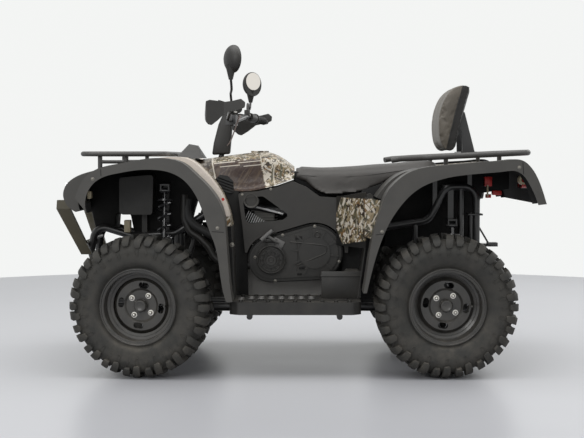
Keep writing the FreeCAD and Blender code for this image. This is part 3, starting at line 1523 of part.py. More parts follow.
def main():
    os.makedirs("parts", exist_ok=True)
    left = frame_side()
    right = mirrored(left)
    export("frame_left", left)
    export("frame_right", right)
    export("cross_members", cross_members(left, right))
    export("belly_plate", belly_plate())
    export("engine", engine())
    export("cvt_cover", cvt_cover())
    export("air_duct", air_duct())
    export("recoil_starter", recoil_starter())
    export("exhaust", exhaust())
    shafts = []
    for name, way, leg in (("front", 1, SPRING_LEGS[0]), ("rear", -1, SPRING_LEGS[1])):
        axle_x, upright_y, eye_y = leg[:3]
        lower, upper, eye = suspension(axle_x, upright_y, eye_y)
        export(name + "_wishbones", both_sides(Part.makeCompound([lower, upper])))
        export(name + "_shocks", both_sides(shock(eye, shock_top(*leg))))
        export(name + "_gearcase", gearcase(axle_x, way))
        shafts.append(half_shaft(axle_x, upright_y, CASING_Y))
    export("half_shafts", both_sides(Part.makeCompound(shafts)))
    export("rear_uprights", both_sides(upright(REAR_AXLE_X, REAR_UPRIGHT_Y, False)))
    export("front_body", front_body())
    export("headlamps", headlamps())
    export("front_flares", both_sides(flare(FRONT_FLARE_TOP, FRONT_FLARE_ARCH)))
    export("rear_flares", both_sides(flare(REAR_FLARE_TOP, REAR_FLARE_ARCH)))
    export("rear_body", rear_body())
    export("tail_lamps", tail_lamps())
    export("leg_panels", leg_panels())
    export("seat", seat())
    export("tank_cover", tank_cover())
    export("air_vents", air_vents())
    export("side_panel_left", side_panel())
    export("side_panel_right", mirrored(side_panel()))
    export("footwell_left", footwell())
    export("footwell_right", mirrored(footwell()))
    export("instrument_hood", instrument_hood())
    export("storage_box", storage_box())
    export("front_rack", front_rack())
    export("rear_rack", rear_rack())
    export("front_bumper", front_bumper())
    export("backrest_pad", backrest_pad())
    export("backrest_frame", backrest_frame())
    export("tow_hitch", tow_hitch())
    export("steering_column", with_handlebar(steering_column()))
    export("handlebar", with_handlebar(handlebar()))
    export("controls", with_handlebar(controls()))
    export("hand_guards", with_handlebar(hand_guards()))
    export("mirrors", with_handlebar(mirrors()))
    export("instrument_pod", with_handlebar(instrument_pod()))
    front_tyre = tyre(FRONT_TYRE_WIDTH, FRONT_RIM_WIDTH)
    rear_tyre = tyre(REAR_TYRE_WIDTH, REAR_RIM_WIDTH)
    front_rim = rim(FRONT_RIM_WIDTH, front_stub_end())
    rear_rim = rim(REAR_RIM_WIDTH, rear_stub_end())
    knuckle = upright(FRONT_AXLE_X, FRONT_UPRIGHT_Y, True)
    for name, side in (("left", -1), ("right", 1)):
        own = knuckle if side < 0 else mirrored(knuckle)
        export("knuckle_" + name, with_front_wheel(own.copy(), side))
        export("tie_rod_" + name, tie_rod(side))
        for piece, shape in (("tyre", front_tyre), ("rim", front_rim)):
            wheel = place_wheel(shape, FRONT_AXLE_X, FRONT_WHEEL_Y, side)
            export(piece + "_front_" + name, with_front_wheel(wheel, side))
        for piece, shape in (("tyre", rear_tyre), ("rim", rear_rim)):
            wheel = place_wheel(shape, REAR_AXLE_X, REAR_WHEEL_Y, side)
            export(piece + "_rear_" + name, wheel)


main()
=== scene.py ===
import bpy
import json
import math

import numpy as np
from mathutils import Euler, Matrix, Vector
from mathutils.bvhtree import BVHTree

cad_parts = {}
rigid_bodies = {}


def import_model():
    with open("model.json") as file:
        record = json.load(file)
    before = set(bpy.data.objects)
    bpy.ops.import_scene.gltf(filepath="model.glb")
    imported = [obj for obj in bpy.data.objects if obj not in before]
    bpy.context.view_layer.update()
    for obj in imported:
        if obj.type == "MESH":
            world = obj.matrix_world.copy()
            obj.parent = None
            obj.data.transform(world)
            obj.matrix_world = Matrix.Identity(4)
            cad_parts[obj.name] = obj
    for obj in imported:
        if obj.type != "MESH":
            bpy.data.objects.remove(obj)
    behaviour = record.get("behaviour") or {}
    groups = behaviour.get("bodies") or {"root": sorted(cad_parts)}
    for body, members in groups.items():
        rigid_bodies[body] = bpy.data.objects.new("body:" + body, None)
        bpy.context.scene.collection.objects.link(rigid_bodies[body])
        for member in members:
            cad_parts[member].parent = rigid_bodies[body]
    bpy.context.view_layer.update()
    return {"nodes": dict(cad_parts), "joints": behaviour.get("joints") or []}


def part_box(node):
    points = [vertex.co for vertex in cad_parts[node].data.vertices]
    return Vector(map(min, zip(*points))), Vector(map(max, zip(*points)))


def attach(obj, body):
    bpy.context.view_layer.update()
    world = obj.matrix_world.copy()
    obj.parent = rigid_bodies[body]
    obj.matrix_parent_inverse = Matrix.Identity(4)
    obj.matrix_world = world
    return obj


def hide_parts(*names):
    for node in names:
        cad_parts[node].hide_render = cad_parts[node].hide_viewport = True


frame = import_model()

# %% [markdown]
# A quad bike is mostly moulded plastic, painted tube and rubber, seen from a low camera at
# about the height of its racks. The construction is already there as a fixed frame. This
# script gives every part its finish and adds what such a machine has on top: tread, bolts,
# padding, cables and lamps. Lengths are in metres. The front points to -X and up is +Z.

nodes = frame["nodes"]
joints = {joint["name"]: joint for joint in frame["joints"]}
print("parts in the frame:", len(nodes), "joints:", len(joints))

# %% [markdown]
# The camera stands level with the racks, almost six metres away, and looks slightly down. A
# long lens keeps both wheels nearly side-on. Its place came from the two hubs: both wheels
# are the same size, so the middle of the view is where neither shows its front or back.

# %% Camera
CAMERA_PLACE = Vector((0.018, -5.81, 0.948))
CAMERA_DOWN = math.radians(2.83)
CAMERA_LEFT = math.radians(0.37)
PICTURE_WIDTH = 584
FOCAL_PIXELS = 1235

camera_data = bpy.data.cameras.new("camera")
camera_data.sensor_width = 36
camera_data.lens = FOCAL_PIXELS / PICTURE_WIDTH * camera_data.sensor_width
camera = bpy.data.objects.new("camera", camera_data)
camera.location = CAMERA_PLACE
camera.rotation_euler = Euler((math.pi / 2 - CAMERA_DOWN, 0, CAMERA_LEFT))
bpy.context.scene.collection.objects.link(camera)
bpy.context.scene.camera = camera
print("lens:", round(camera_data.lens, 1), "mm")

# %% [markdown]
# Modelling by hand means selecting, then pressing keys. In a script the same operators need
# the right mode and the right selection first. These helpers let go of everything, hold what
# the next operator is meant for, and put an object's place, turn and size into its mesh.

# %% Selecting
def let_go():
    if bpy.context.mode != "OBJECT":
        bpy.ops.object.mode_set(mode="OBJECT")
    bpy.ops.object.select_all(action="DESELECT")


def hold(*objects):
    let_go()
    for obj in objects:
        obj.select_set(True)
    bpy.context.view_layer.objects.active = objects[0]


def settled(*objects):
    hold(*objects)
    bpy.ops.object.transform_apply(location=True, rotation=True, scale=True)
    return objects[0]


# %% [markdown]
# Most pieces start from an outline. One corner of a small plane is pulled along the points,
# as with the extrude key, and the line is then filled and pulled into a plate, or spun
# round an axle into a turned piece. Doubles are merged and normals point outwards again.

# %% Outlines, plates and turned pieces
SAME_PLACE = 1e-5


def draw(points, filled=True):
    let_go()
    bpy.ops.mesh.primitive_plane_add(size=0.01, location=points[0])
    obj = bpy.context.object
    bpy.ops.object.mode_set(mode="EDIT")
    bpy.ops.mesh.select_mode(type="VERT")
    bpy.ops.mesh.select_all(action="SELECT")
    bpy.ops.mesh.merge(type="CENTER")
    for before, after in zip(points, points[1:]):
        step = Vector(after) - Vector(before)
        bpy.ops.mesh.extrude_vertices_move(TRANSFORM_OT_translate={"value": step})
    bpy.ops.mesh.select_all(action="SELECT")
    if filled:
        bpy.ops.mesh.edge_face_add()
    return obj


def close_up():
    bpy.ops.mesh.select_all(action="SELECT")
    bpy.ops.mesh.remove_doubles(threshold=SAME_PLACE)
    bpy.ops.mesh.normals_make_consistent(inside=False)
    bpy.ops.object.mode_set(mode="OBJECT")
    bpy.ops.object.transform_apply(location=True, rotation=True, scale=True)


def plate(points, along):
    """A filled outline pulled along a vector."""
    obj = draw(points)
    bpy.ops.mesh.extrude_region_move(TRANSFORM_OT_translate={"value": Vector(along)})
    close_up()
    return obj


def turn(profile, steps):
    """A turned piece about the Y axis. The profile is given as (along Y, radius)."""
    obj = draw([(0, y, r) for y, r in profile], filled=False)
    bpy.ops.mesh.spin(steps=steps, angle=2 * math.pi, center=(0, 0, 0), axis=(0, 1, 0))
    close_up()
    return obj


# %% [markdown]
# What repeats is modelled once and copied, each copy with its own mesh, and the copies are
# joined into one piece. What sits on both sides of the machine is made on the left and then
# mirrored. A mirror image comes out inside out, so its faces are turned round again.

# %% Copies and mirror images
def placed_copy(model, matrix=Matrix.Identity(4)):
    twin = model.copy()
    twin.data = model.data.copy()
    bpy.context.scene.collection.objects.link(twin)
    twin.matrix_world = matrix @ model.matrix_world
    return twin


def joined(objects):
    settled(*objects)
    bpy.ops.object.join()
    return bpy.context.object


def removed(obj):
    bpy.data.objects.remove(obj)


def mirrored(obj):
    for corner in obj.data.vertices:
        corner.co.y = -corner.co.y
    obj.data.flip_normals()
    return obj


def mirrored_pair(obj):
    """Adds the same piece on the other side of the machine and joins both."""
    return joined([obj, mirrored(placed_copy(obj))])


def frame_at(place, axis):
    """Puts a piece made about the Y axis at a place, with its Y axis along another one."""
    lean = Vector((0, 1, 0)).rotation_difference(Vector(axis).normalized())
    return Matrix.Translation(place) @ lean.to_matrix().to_4x4()


# %% [markdown]
# Nothing that is moulded, cast or bent has a perfectly sharp edge, and the small round is what
# catches the light. A finished piece has its edges rounded, its place in its mesh, one
# material, and a body that it rides on, so that it moves when that body does.

# %% Rounding and finishing a piece
made = []


def rounded(obj, width, segments=2, limit=30):
    """Bevels the edges that are sharper than a limit in degrees."""
    hold(obj)
    rounding = obj.modifiers.new("rounding", "BEVEL")
    rounding.width = width
    rounding.segments = segments
    rounding.limit_method = "ANGLE"
    rounding.angle_limit = math.radians(limit)
    bpy.ops.object.modifier_apply(modifier="rounding")


def done(obj, name, body, material, slot, bevel=0.0, segments=2, angle=35):
    settled(obj)
    if bevel:
        rounded(obj, bevel, segments)
    bpy.ops.object.shade_smooth_by_angle(angle=math.radians(angle))
    obj.name = name
    obj.data.name = name
    obj.data.materials.clear()
    obj.data.materials.append(material)
    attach(obj, body)
    made.append(name)
    return obj


# %% [markdown]
# Real surfaces are never one flat colour. Moulded plastic has a fine grain that catches
# light, paint has faint unevenness, and dust settles low down and on what faces up. Each of
# these effects is one node group, built once and placed in every finish that needs it. The
# helpers here add a node each, and feed its sockets from another node or with a plain value.

# %% Building blocks for node groups
FLOAT = "NodeSocketFloat"
COLOUR = "NodeSocketColor"
VECTOR = "NodeSocketVector"
NOISE_REACH = (0.3, 0.7)
FALLING = (1.0, 0.0)


def new_group(name, inputs, outputs):
    group = bpy.data.node_groups.new(name, "ShaderNodeTree")
    for title, kind, value in inputs:
        socket = group.interface.new_socket(name=title, in_out="INPUT", socket_type=kind)
        if value is not None:
            socket.default_value = value
    for title, kind in outputs:
        group.interface.new_socket(name=title, in_out="OUTPUT", socket_type=kind)
    return group, group.nodes.new("NodeGroupInput"), group.nodes.new("NodeGroupOutput")


def feed(tree, node, key, value):
    if isinstance(value, bpy.types.NodeSocket):
        tree.links.new(value, node.inputs[key])
    else:
        node.inputs[key].default_value = value


def put(tree, kind, *feeds, **settings):
    """Adds a node, sets it up, and feeds its sockets by name or number."""
    node = tree.nodes.new("ShaderNode" + kind)
    for key, value in settings.items():
        setattr(node, key, value)
    for key, value in feeds:
        feed(tree, node, key, value)
    return node


def noise(tree, vector, scale, detail, roughness=0.55):
    return put(tree, "TexNoise", ("Vector", vector), ("Scale", scale), ("Detail", detail),
               ("Roughness", roughness)).outputs["Fac"]


def spread(tree, value, low, high, to_low=0.0, to_high=1.0):
    """Maps a range to another one and holds it there."""
    return put(tree, "MapRange", (0, value), (1, low), (2, high), (3, to_low), (4, to_high),
               clamp=True).outputs[0]


def maths(tree, operation, a, b=0.0):
    return put(tree, "Math", (0, a), (1, b), operation=operation).outputs[0]


def times(tree, a, b):
    return maths(tree, "MULTIPLY", a, b)


def vectors(tree, operation, a, b):
    """The same for whole places and directions. A scaling has a socket of its own."""
    second = "Scale" if operation == "SCALE" else 1
    return put(tree, "VectorMath", (0, a), (second, b), operation=operation).outputs[0]


def mixed(tree, share, first, second):
    return put(tree, "Mix", (0, share), (6, first), (7, second), data_type="RGBA").outputs[2]


def parts_of(tree, vector):
    return put(tree, "SeparateXYZ", (0, vector)).outputs


def facing(tree):
    return put(tree, "NewGeometry").outputs["Normal"]


def bumped(tree, height, strength, distance):
    return put(tree, "Bump", ("Height", height), ("Strength", strength),
               ("Distance", distance)).outputs["Normal"]


def toned(colour, share):
    """A colour made lighter or darker."""
    return tuple(min(1.0, c * share) for c in colour[:3]) + (1,)


# %% [markdown]
# A mould is etched, so that its plastic comes out with fine pebbles and not as a mirror. Dust
# gathers near the ground and on level faces, and lies in clouds. Both are made from noise in
# metres, so the grain has its real size on a small cap and on a large panel alike.

# %% Grain, unevenness and dust
DUST_COLOUR = (0.24, 0.21, 0.17, 1)


def grain_group():
    """Fine pebbles, with a broad unevenness under them."""
    group, start, end = new_group(
        "moulded_grain",
        [("Vector", VECTOR, None), ("Scale", FLOAT, 700.0), ("Broad", FLOAT, 9.0)],
        [("Height", FLOAT), ("Tone", FLOAT)],
    )
    place = start.outputs["Vector"]
    fine = noise(group, place, start.outputs["Scale"], 2.0)
    broad = noise(group, place, start.outputs["Broad"], 4.0)
    feed(group, end, "Height", fine)
    feed(group, end, "Tone", maths(group, "ADD", times(group, broad, 0.75), times(group, fine, 0.25)))
    return group


def dust_group():
    """Where dust lies: thick near the ground, thin higher up, in clouds, most on level faces."""
    group, start, end = new_group(
        "dust",
        [("Vector", VECTOR, None), ("Normal", VECTOR, None), ("Amount", FLOAT, 0.3)],
        [("Mask", FLOAT)],
    )
    place = start.outputs["Vector"]
    low = spread(group, parts_of(group, place)["Z"], 0.0, 0.75, 1.0, 0.25)
    up = spread(group, parts_of(group, start.outputs["Normal"])["Z"], 0.2, 1.0, 0.35, 1.0)
    cloud = spread(group, noise(group, place, 14.0, 6.0, 0.65), 0.38, 0.72)
    mask = times(group, times(group, low, up), cloud)
    feed(group, end, "Mask", times(group, mask, start.outputs["Amount"]))
    return group


GRAIN = grain_group()
DUST = dust_group()


def place_group(tree, group, **values):
    """Puts a node group into a material, with the material's own values."""
    node = tree.nodes.new("ShaderNodeGroup")
    node.node_tree = group
    for key, value in values.items():
        feed(tree, node, key, value)
    return node.outputs


print("groups:", [group.name for group in bpy.data.node_groups])

# %% [markdown]
# Every plain finish is the same shader with other numbers: a base colour that wanders a
# little, dust on top, a roughness that follows both, and a bump from the grain. Writing it
# once keeps the finishes alike where the real ones are, and each keeps its own values.

# %% A plain finish
PEBBLE_DEPTH = 0.0006
ROUGHNESS_WANDER = 0.07
DUST_ROUGHENS = 0.35


def new_material(name):
    """A material with its tree, its shader, and the place that its patterns are read from."""
    material = bpy.data.materials.new(name)
    material.use_nodes = True
    tree = material.node_tree
    return material, tree, tree.nodes["Principled BSDF"], put(tree, "TexCoord").outputs["Object"]


def finish(name, colour, roughness, grain, metallic=0.0, tone=0.22, dust=0.25, coat=0.0,
           specular=0.5):
    """Grain is given as how fine it is, in pebbles to the metre, and how deep it looks."""
    material, tree, shader, place = new_material(name)
    grains = place_group(tree, GRAIN, Vector=place, Scale=grain[0])
    dusting = place_group(tree, DUST, Vector=place, Normal=facing(tree), Amount=dust)["Mask"]
    base = mixed(tree, spread(tree, grains["Tone"], *NOISE_REACH),
                 toned(colour, 1 - tone), toned(colour, 1 + tone))
    feed(tree, shader, "Base Color", mixed(tree, dusting, base, DUST_COLOUR))
    rough = spread(tree, grains["Tone"], *NOISE_REACH,
                   roughness - ROUGHNESS_WANDER, roughness + ROUGHNESS_WANDER)
    feed(tree, shader, "Roughness", maths(tree, "ADD", rough, times(tree, dusting, DUST_ROUGHENS)))
    feed(tree, shader, "Normal", bumped(tree, grains["Height"], grain[1], PEBBLE_DEPTH))
    feed(tree, shader, "Metallic", metallic)
    feed(tree, shader, "Coat Weight", coat)
    feed(tree, shader, "Specular IOR Level", specular)
    return material


# %% [markdown]
# Almost all of the machine is nearly black. What tells its parts apart is how grey, how rough
# and how dusty they are: the panels are a dull grey, the covers darker, the racks have a
# gritty powder coat, the rims a smooth one, and only bolts and castings are bare metal.

# %% The plain finishes
PANEL_GREY = finish("panel_grey", (0.045, 0.0425, 0.038), 0.52, grain=(900.0, 0.25))
SIDE_GREY = finish("side_cover_grey", (0.0190, 0.0174, 0.0150), 0.56, grain=(900.0, 0.25))
DEEP_BLACK = finish("moulded_black", (0.0100, 0.0092, 0.0078), 0.5, grain=(800.0, 0.25))
# The darkest black, on the air vents and the joint lines in the flares; on the arch sheets and the belt
# housing's recess patches it is painted shade.
INNER_BLACK_AND_SHADE = finish("inner_black_and_painted_shade", (0.006, 0.006, 0.006), 0.7, grain=(600.0, 0.3), dust=0.2,
                     specular=0.25)
FRAME_BLACK = finish("frame_paint", (0.016, 0.016, 0.017), 0.36, grain=(420.0, 0.10), coat=0.2)
RACK_BLACK = finish("rack_paint", (0.050, 0.048, 0.045), 0.45, grain=(1300.0, 0.5))
RIM_BLACK = finish("rim_paint", (0.029, 0.0275, 0.0245), 0.34, grain=(500.0, 0.08), coat=0.3, dust=0.4)
CAST_GREY = finish("cast_alloy", (0.20, 0.195, 0.185), 0.5, grain=(380.0, 0.5), metallic=0.85, dust=0.3)
BARE_ZINC = finish("zinc_plate", (0.62, 0.60, 0.56), 0.28, grain=(900.0, 0.05), metallic=1.0, dust=0.1)
BUMPER_BROWN = finish("bumper_paint", (0.054, 0.045, 0.022), 0.42, grain=(1100.0, 0.35), coat=0.15)
TYRE_RUBBER = finish("tyre_rubber", (0.0205, 0.0198, 0.0172), 0.72, grain=(520.0, 0.3), dust=0.55)
SOFT_RUBBER = finish("soft_rubber", (0.018, 0.018, 0.018), 0.6, grain=(900.0, 0.2))
DULL_BOLT = finish("dull_bolt", (0.19, 0.18, 0.16), 0.42, grain=(900.0, 0.05), metallic=0.9, dust=0.2)
RED_LENS = finish("red_lens", (0.36, 0.012, 0.010), 0.12, grain=(60.0, 0.02), coat=0.8, dust=0.05)
LAMP_CLEAR = finish("lamp_clear", (0.55, 0.56, 0.56), 0.08, grain=(90.0, 0.02), metallic=0.55,
                    coat=1.0, dust=0.05)
MIRROR_GLASS = finish("mirror_glass", (0.82, 0.775, 0.72), 0.03, grain=(40.0, 0.0), metallic=1.0,
                      tone=0.02, dust=0.02)
SPRING_PAINT = finish("spring_paint", (0.030, 0.030, 0.032), 0.25, grain=(300.0, 0.05), coat=0.5,
                      dust=0.2)
print("plain finishes:", len(bpy.data.materials))

# %% [markdown]
# The stage is a pale floor that ends where the wall behind it would stand, and a plain pale
# backdrop. The backdrop is the world's own colour, seen by the camera and by reflections. The
# light that falls on the object is softer: a dim dome and a few large lamps, as in a studio.

# %% Floor, backdrop and lamps
FLOOR_RADIUS = 4.6
FLOOR_COLOUR = (0.47, 0.47, 0.485, 1)
BACKDROP = (0.90, 0.91, 0.90, 1)
DOME_TINT = (0.93, 0.96, 1.0, 1)
DOME_STRENGTH = 0.62

floor_finish, tree, shader, place = new_material("studio_floor")
cloud = spread(tree, noise(tree, place, 0.9, 3.0), *NOISE_REACH)
feed(tree, shader, "Base Color", mixed(tree, cloud, toned(FLOOR_COLOUR, 0.96), FLOOR_COLOUR))
feed(tree, shader, "Roughness", 0.32)
feed(tree, shader, "Specular IOR Level", 0.35)

let_go()
bpy.ops.mesh.primitive_circle_add(vertices=160, radius=FLOOR_RADIUS, fill_type="NGON")
floor = bpy.context.object
floor.name = "studio_floor"
floor.location.z = -0.0005
floor.data.materials.append(floor_finish)

bpy.context.scene.view_settings.view_transform = "Standard"

world = bpy.data.worlds.new("studio")
bpy.context.scene.world = world
world.use_nodes = True
tree = world.node_tree
paths = put(tree, "LightPath").outputs
seen = maths(tree, "MAXIMUM", paths["Is Camera Ray"],
             maths(tree, "MAXIMUM", paths["Is Glossy Ray"], paths["Is Transmission Ray"]))
backdrop = put(tree, "Background", ("Color", BACKDROP), ("Strength", 1.0))
dome = put(tree, "Background", ("Color", DOME_TINT), ("Strength", DOME_STRENGTH))
either = put(tree, "MixShader", (0, seen), (1, dome.outputs[0]), (2, backdrop.outputs[0]))
feed(tree, tree.nodes["World Output"], "Surface", either.outputs[0])


def lamp(name, place, aim, size, power):
    data = bpy.data.lights.new(name, "AREA")
    data.shape = "RECTANGLE"
    data.size, data.size_y = size
    data.energy = power
    obj = bpy.data.objects.new(name, data)
    bpy.context.scene.collection.objects.link(obj)
    obj.location = place
    obj.rotation_euler = (Vector(aim) - Vector(place)).to_track_quat("-Z", "Y").to_euler()


lamp("ceiling_panel", (0.0, -0.6, 3.9), (0, 0, 0.4), (5.5, 3.2), 140)
lamp("front_panel", (-2.2, -5.4, 2.9), (0, 0, 0.6), (3.2, 2.2), 78)
lamp("rear_panel", (3.4, 2.6, 2.6), (0, 0, 0.7), (2.2, 1.8), 45)
print("stage ready")

# %% [markdown]
# The painted body parts carry a hunter's camouflage film: pale grass tones with ochre, moss
# and dark brown reeds across them. The film here is a plain one of its kind. A slow noise
# pushes the pattern about, and each layer of reeds is a noise stretched along a direction of
# its own and cut at its own level, so that the edges are crisp like print.

# %% Camouflage
CREAM = (0.37, 0.31, 0.21, 1)
STRAW = (0.225, 0.172, 0.095, 1)
OCHRE = (0.155, 0.085, 0.030, 1)
MOSS = (0.070, 0.066, 0.040, 1)
BARK = (0.024, 0.015, 0.010, 1)
PALE = (0.55, 0.50, 0.42, 1)
INK = 0.92

# How each layer is turned, how wide and long its reeds are, where it is cut, and its tone.
LAYERS = (
    ((0.1, 0.45, 0.1), 0.024, 0.24, 0.52, 0.54, OCHRE),
    ((0.2, -0.7, 0.3), 0.020, 0.20, 0.54, 0.555, MOSS),
    ((0.0, 1.1, 0.5), 0.016, 0.20, 0.555, 0.57, BARK),
    ((0.3, -0.75, 0.2), 0.013, 0.26, 0.56, 0.575, PALE),
    ((0.1, 0.85, 0.4), 0.011, 0.20, 0.575, 0.59, STRAW),
    ((0.2, -1.2, 0.1), 0.010, 0.18, 0.58, 0.595, BARK),
    ((0.0, 0.15, 0.3), 0.009, 0.22, 0.58, 0.595, MOSS),
    ((0.4, 0.7, 0.2), 0.010, 0.20, 0.59, 0.605, PALE),
)


def warped(tree, vector, scale, amount):
    """Pushes a position about by a slow noise."""
    bend = put(tree, "TexNoise", ("Vector", vector), ("Scale", scale), ("Detail", 2.0))
    middle = vectors(tree, "SUBTRACT", bend.outputs["Color"], (0.5, 0.5, 0.5))
    return vectors(tree, "ADD", vector, vectors(tree, "SCALE", middle, amount))


def reeds(tree, vector, turn_by, width, length, low, high):
    """Long thin spots that all lie one way: noise stretched along a turned direction."""
    laid = put(tree, "Mapping", ("Vector", vector), ("Rotation", turn_by),
               ("Scale", (width, width * 1.4, length)), vector_type="TEXTURE")
    return spread(tree, noise(tree, laid.outputs[0], 1.0, 1.5, 0.45), low, high)


def camouflage_group():
    group, start, end = new_group("camouflage", [("Vector", VECTOR, None)], [("Color", COLOUR)])
    bent = warped(group, start.outputs["Vector"], 7.0, 0.05)
    colour = mixed(group, spread(group, noise(group, bent, 12.0, 3.0), 0.42, 0.55), STRAW, CREAM)
    for i, (turn_by, width, length, low, high, tone) in enumerate(LAYERS):
        moved = vectors(group, "ADD", bent, (0.31 * i, 0.17 * i, 0.53 * i))
        cut = reeds(group, moved, turn_by, width, length, low, high)
        colour = mixed(group, times(group, cut, INK), colour, tone)
    feed(group, end, "Color", colour)
    return group


CAMOUFLAGE = camouflage_group()
print("camouflage layers:", len(LAYERS))

# %% [markdown]
# The film is only on the outside of each shell. Inside and below, the bare black plastic shows.
# A mask finds those faces by the way they point: towards the middle, down, or, at the two far
# ends, back along the machine. The same mask takes away the film's gloss.

# %% The film and the bare inside
# Bare black plastic inside the film shells; on the flares the same black is painted shade in the arch.
MOULD_BLACK_AND_ARCH_SHADE = (0.010, 0.010, 0.010, 1)
POINTS_IN = (-0.06, -0.03)
POINTS_DOWN = (-0.5, -0.3)
FAR_END = (0.80, 0.82)
POINTS_BACK = (-0.5, -0.3)
FILM_COAT = 0.12


def inside_mask(tree, place, normal):
    """One on faces that look inwards or down: on the films the shell is bare black plastic there, and on
    the flares the black is painted shade.
    """
    at = parts_of(tree, place)
    to = parts_of(tree, normal)
    inward = spread(tree, times(tree, at["Y"], to["Y"]), *POINTS_IN, *FALLING)
    under = spread(tree, to["Z"], *POINTS_DOWN, *FALLING)
    far_end = spread(tree, maths(tree, "ABSOLUTE", at["X"]), *FAR_END)
    end_wall = spread(tree, times(tree, at["X"], to["X"]), *POINTS_BACK, *FALLING)
    return maths(tree, "MAXIMUM", maths(tree, "MAXIMUM", inward, under), times(tree, far_end, end_wall))


def film(name, overlay, size=1.0):
    """Printed film under a clear coat. The overlay function paints over the print."""
    material, tree, shader, place = new_material(name)
    normal = facing(tree)
    pattern = vectors(tree, "SCALE", place, 1.0 / size)
    colour = overlay(tree, place, place_group(tree, CAMOUFLAGE, Vector=pattern)["Color"])
    inside = inside_mask(tree, place, normal)
    colour = mixed(tree, inside, colour, MOULD_BLACK_AND_ARCH_SHADE)
    dusting = place_group(tree, DUST, Vector=place, Normal=normal, Amount=0.15)["Mask"]
    feed(tree, shader, "Base Color", mixed(tree, dusting, colour, DUST_COLOUR))
    wave = noise(tree, place, 240.0, 2.0)
    feed(tree, shader, "Roughness",
         maths(tree, "MAXIMUM", spread(tree, wave, *NOISE_REACH, 0.36, 0.48), inside))
    feed(tree, shader, "Normal", bumped(tree, wave, 0.06, 0.0008))
    feed(tree, shader, "Specular IOR Level", 0.35)
    coated = maths(tree, "SUBTRACT", 1.0, inside)
    feed(tree, shader, "Coat Weight", times(tree, coated, FILM_COAT))
    feed(tree, shader, "Coat Roughness", 0.12)
    return material


# %% [markdown]
# The print doesn't cover everything: the nose, the deck beside the seat and the edges of the
# leg panels are plain. Each limit is a plane through the part, a place along the machine or a
# slanted line in the side view, so each is one sum of X and Z that is cut at a value.

# %% Where the print ends
BODY_GREY = (0.045, 0.0425, 0.038, 1)
# Grey of the plain cover; on the leg panels it also paints the seat's shadow.
PLAIN_COVER_AND_SEAT_SHADOW = (0.0190, 0.0174, 0.0150, 1)
CREAM_EDGE = (0.70, 0.62, 0.54, 1)
EDGE_STRIP = {"from the middle": (0.300, 0.306), "above": (0.690, 0.696)}
NOSE_ENDS = (-0.640, -0.632)
HOOD_STARTS = (-0.810, -0.806)
DECK_ENDS = (0.660, 0.668)
TAIL_STARTS = (0.880, 0.884)
LEG_SLANTS = {"ahead": 0.274, "under": 0.384, "below": 0.272}
LEG_MIDDLE = (0.659, 0.661)


def front_graphic(tree, place, colour):
    """A grey nose, a plain cream edge along the flares, and the print below and behind it."""
    at = parts_of(tree, place)
    outer = spread(tree, maths(tree, "ABSOLUTE", at["Y"]), *EDGE_STRIP["from the middle"])
    edge = times(tree, outer, spread(tree, at["Z"], *EDGE_STRIP["above"]))
    colour = mixed(tree, times(tree, edge, 0.90), colour, CREAM_EDGE)
    nose = spread(tree, at["X"], *NOSE_ENDS, *FALLING)
    inner = maths(tree, "SUBTRACT", 1.0, outer)
    hood = times(tree, spread(tree, at["X"], *HOOD_STARTS), inner)
    plain = maths(tree, "SUBTRACT", nose, times(tree, nose, hood))
    return mixed(tree, plain, colour, BODY_GREY)


def rear_graphic(tree, place, colour):
    """Plain grey beside the seat, the print behind that, and black side walls at the tail."""
    at = parts_of(tree, place)
    colour = mixed(tree, spread(tree, at["X"], *DECK_ENDS, *FALLING), colour, BODY_GREY)
    across = parts_of(tree, facing(tree))["Y"]
    flank = spread(tree, maths(tree, "ABSOLUTE", across), 0.50, 0.60)
    tail = spread(tree, at["X"], *TAIL_STARTS)
    return mixed(tree, times(tree, flank, tail), colour, MOULD_BLACK_AND_ARCH_SHADE)


def leg_graphic(tree, place, colour):
    """The print ends at slanted edges: plain grey in front and above, black below. The grey above also
    paints the seat's shadow.
    """
    at = parts_of(tree, place)
    x, z = at["X"], at["Z"]
    leaning = maths(tree, "SUBTRACT", x, times(tree, z, LEG_SLANTS["ahead"]))
    ahead = spread(tree, leaning, -0.0108, -0.0088, *FALLING)
    ahead = times(tree, ahead, spread(tree, z, *LEG_MIDDLE))
    # Plain grey above the print; its strip under the seat is the seat's painted shadow.
    above = spread(tree, z, 0.770, 0.773)
    leaning = maths(tree, "ADD", x, times(tree, z, LEG_SLANTS["under"]))
    under = spread(tree, leaning, 0.4238, 0.4258, *FALLING)
    under = times(tree, under, spread(tree, z, *LEG_MIDDLE, *FALLING))
    leaning = maths(tree, "SUBTRACT", z, times(tree, x, LEG_SLANTS["below"]))
    below = spread(tree, leaning, 0.5062, 0.5082, *FALLING)
    colour = mixed(tree, maths(tree, "MAXIMUM", ahead, above), colour, PLAIN_COVER_AND_SEAT_SHADOW)
    return mixed(tree, maths(tree, "MAXIMUM", under, below), colour, MOULD_BLACK_AND_ARCH_SHADE)


FRONT_FILM = film("front_film", front_graphic)
REAR_FILM = film("rear_film", rear_graphic)
LEG_FILM = film("leg_film", leg_graphic, size=1.3)
print("camouflage films:", FRONT_FILM.name, REAR_FILM.name, LEG_FILM.name)

# %% [markdown]
# Over the tank the print has a graphic: a dark red field that fades to brown, a few slanted
# pale stripes and a long pale arc. Each is a mask from the position seen from the side,
# which is where the graphic is drawn flat. A stripe is the band between two slanted lines.

# %% The tank's graphic
STRIPE_SLANT = 0.22
STRIPE_RISE = -0.10
ARC_MIDDLE = (0.042, 0.0, 0.872)
FIELD_RED = (0.020, 0.0060, 0.0045, 1)
FIELD_BROWN = (0.032, 0.0135, 0.0075, 1)
TWIG = (0.070, 0.042, 0.022, 1)


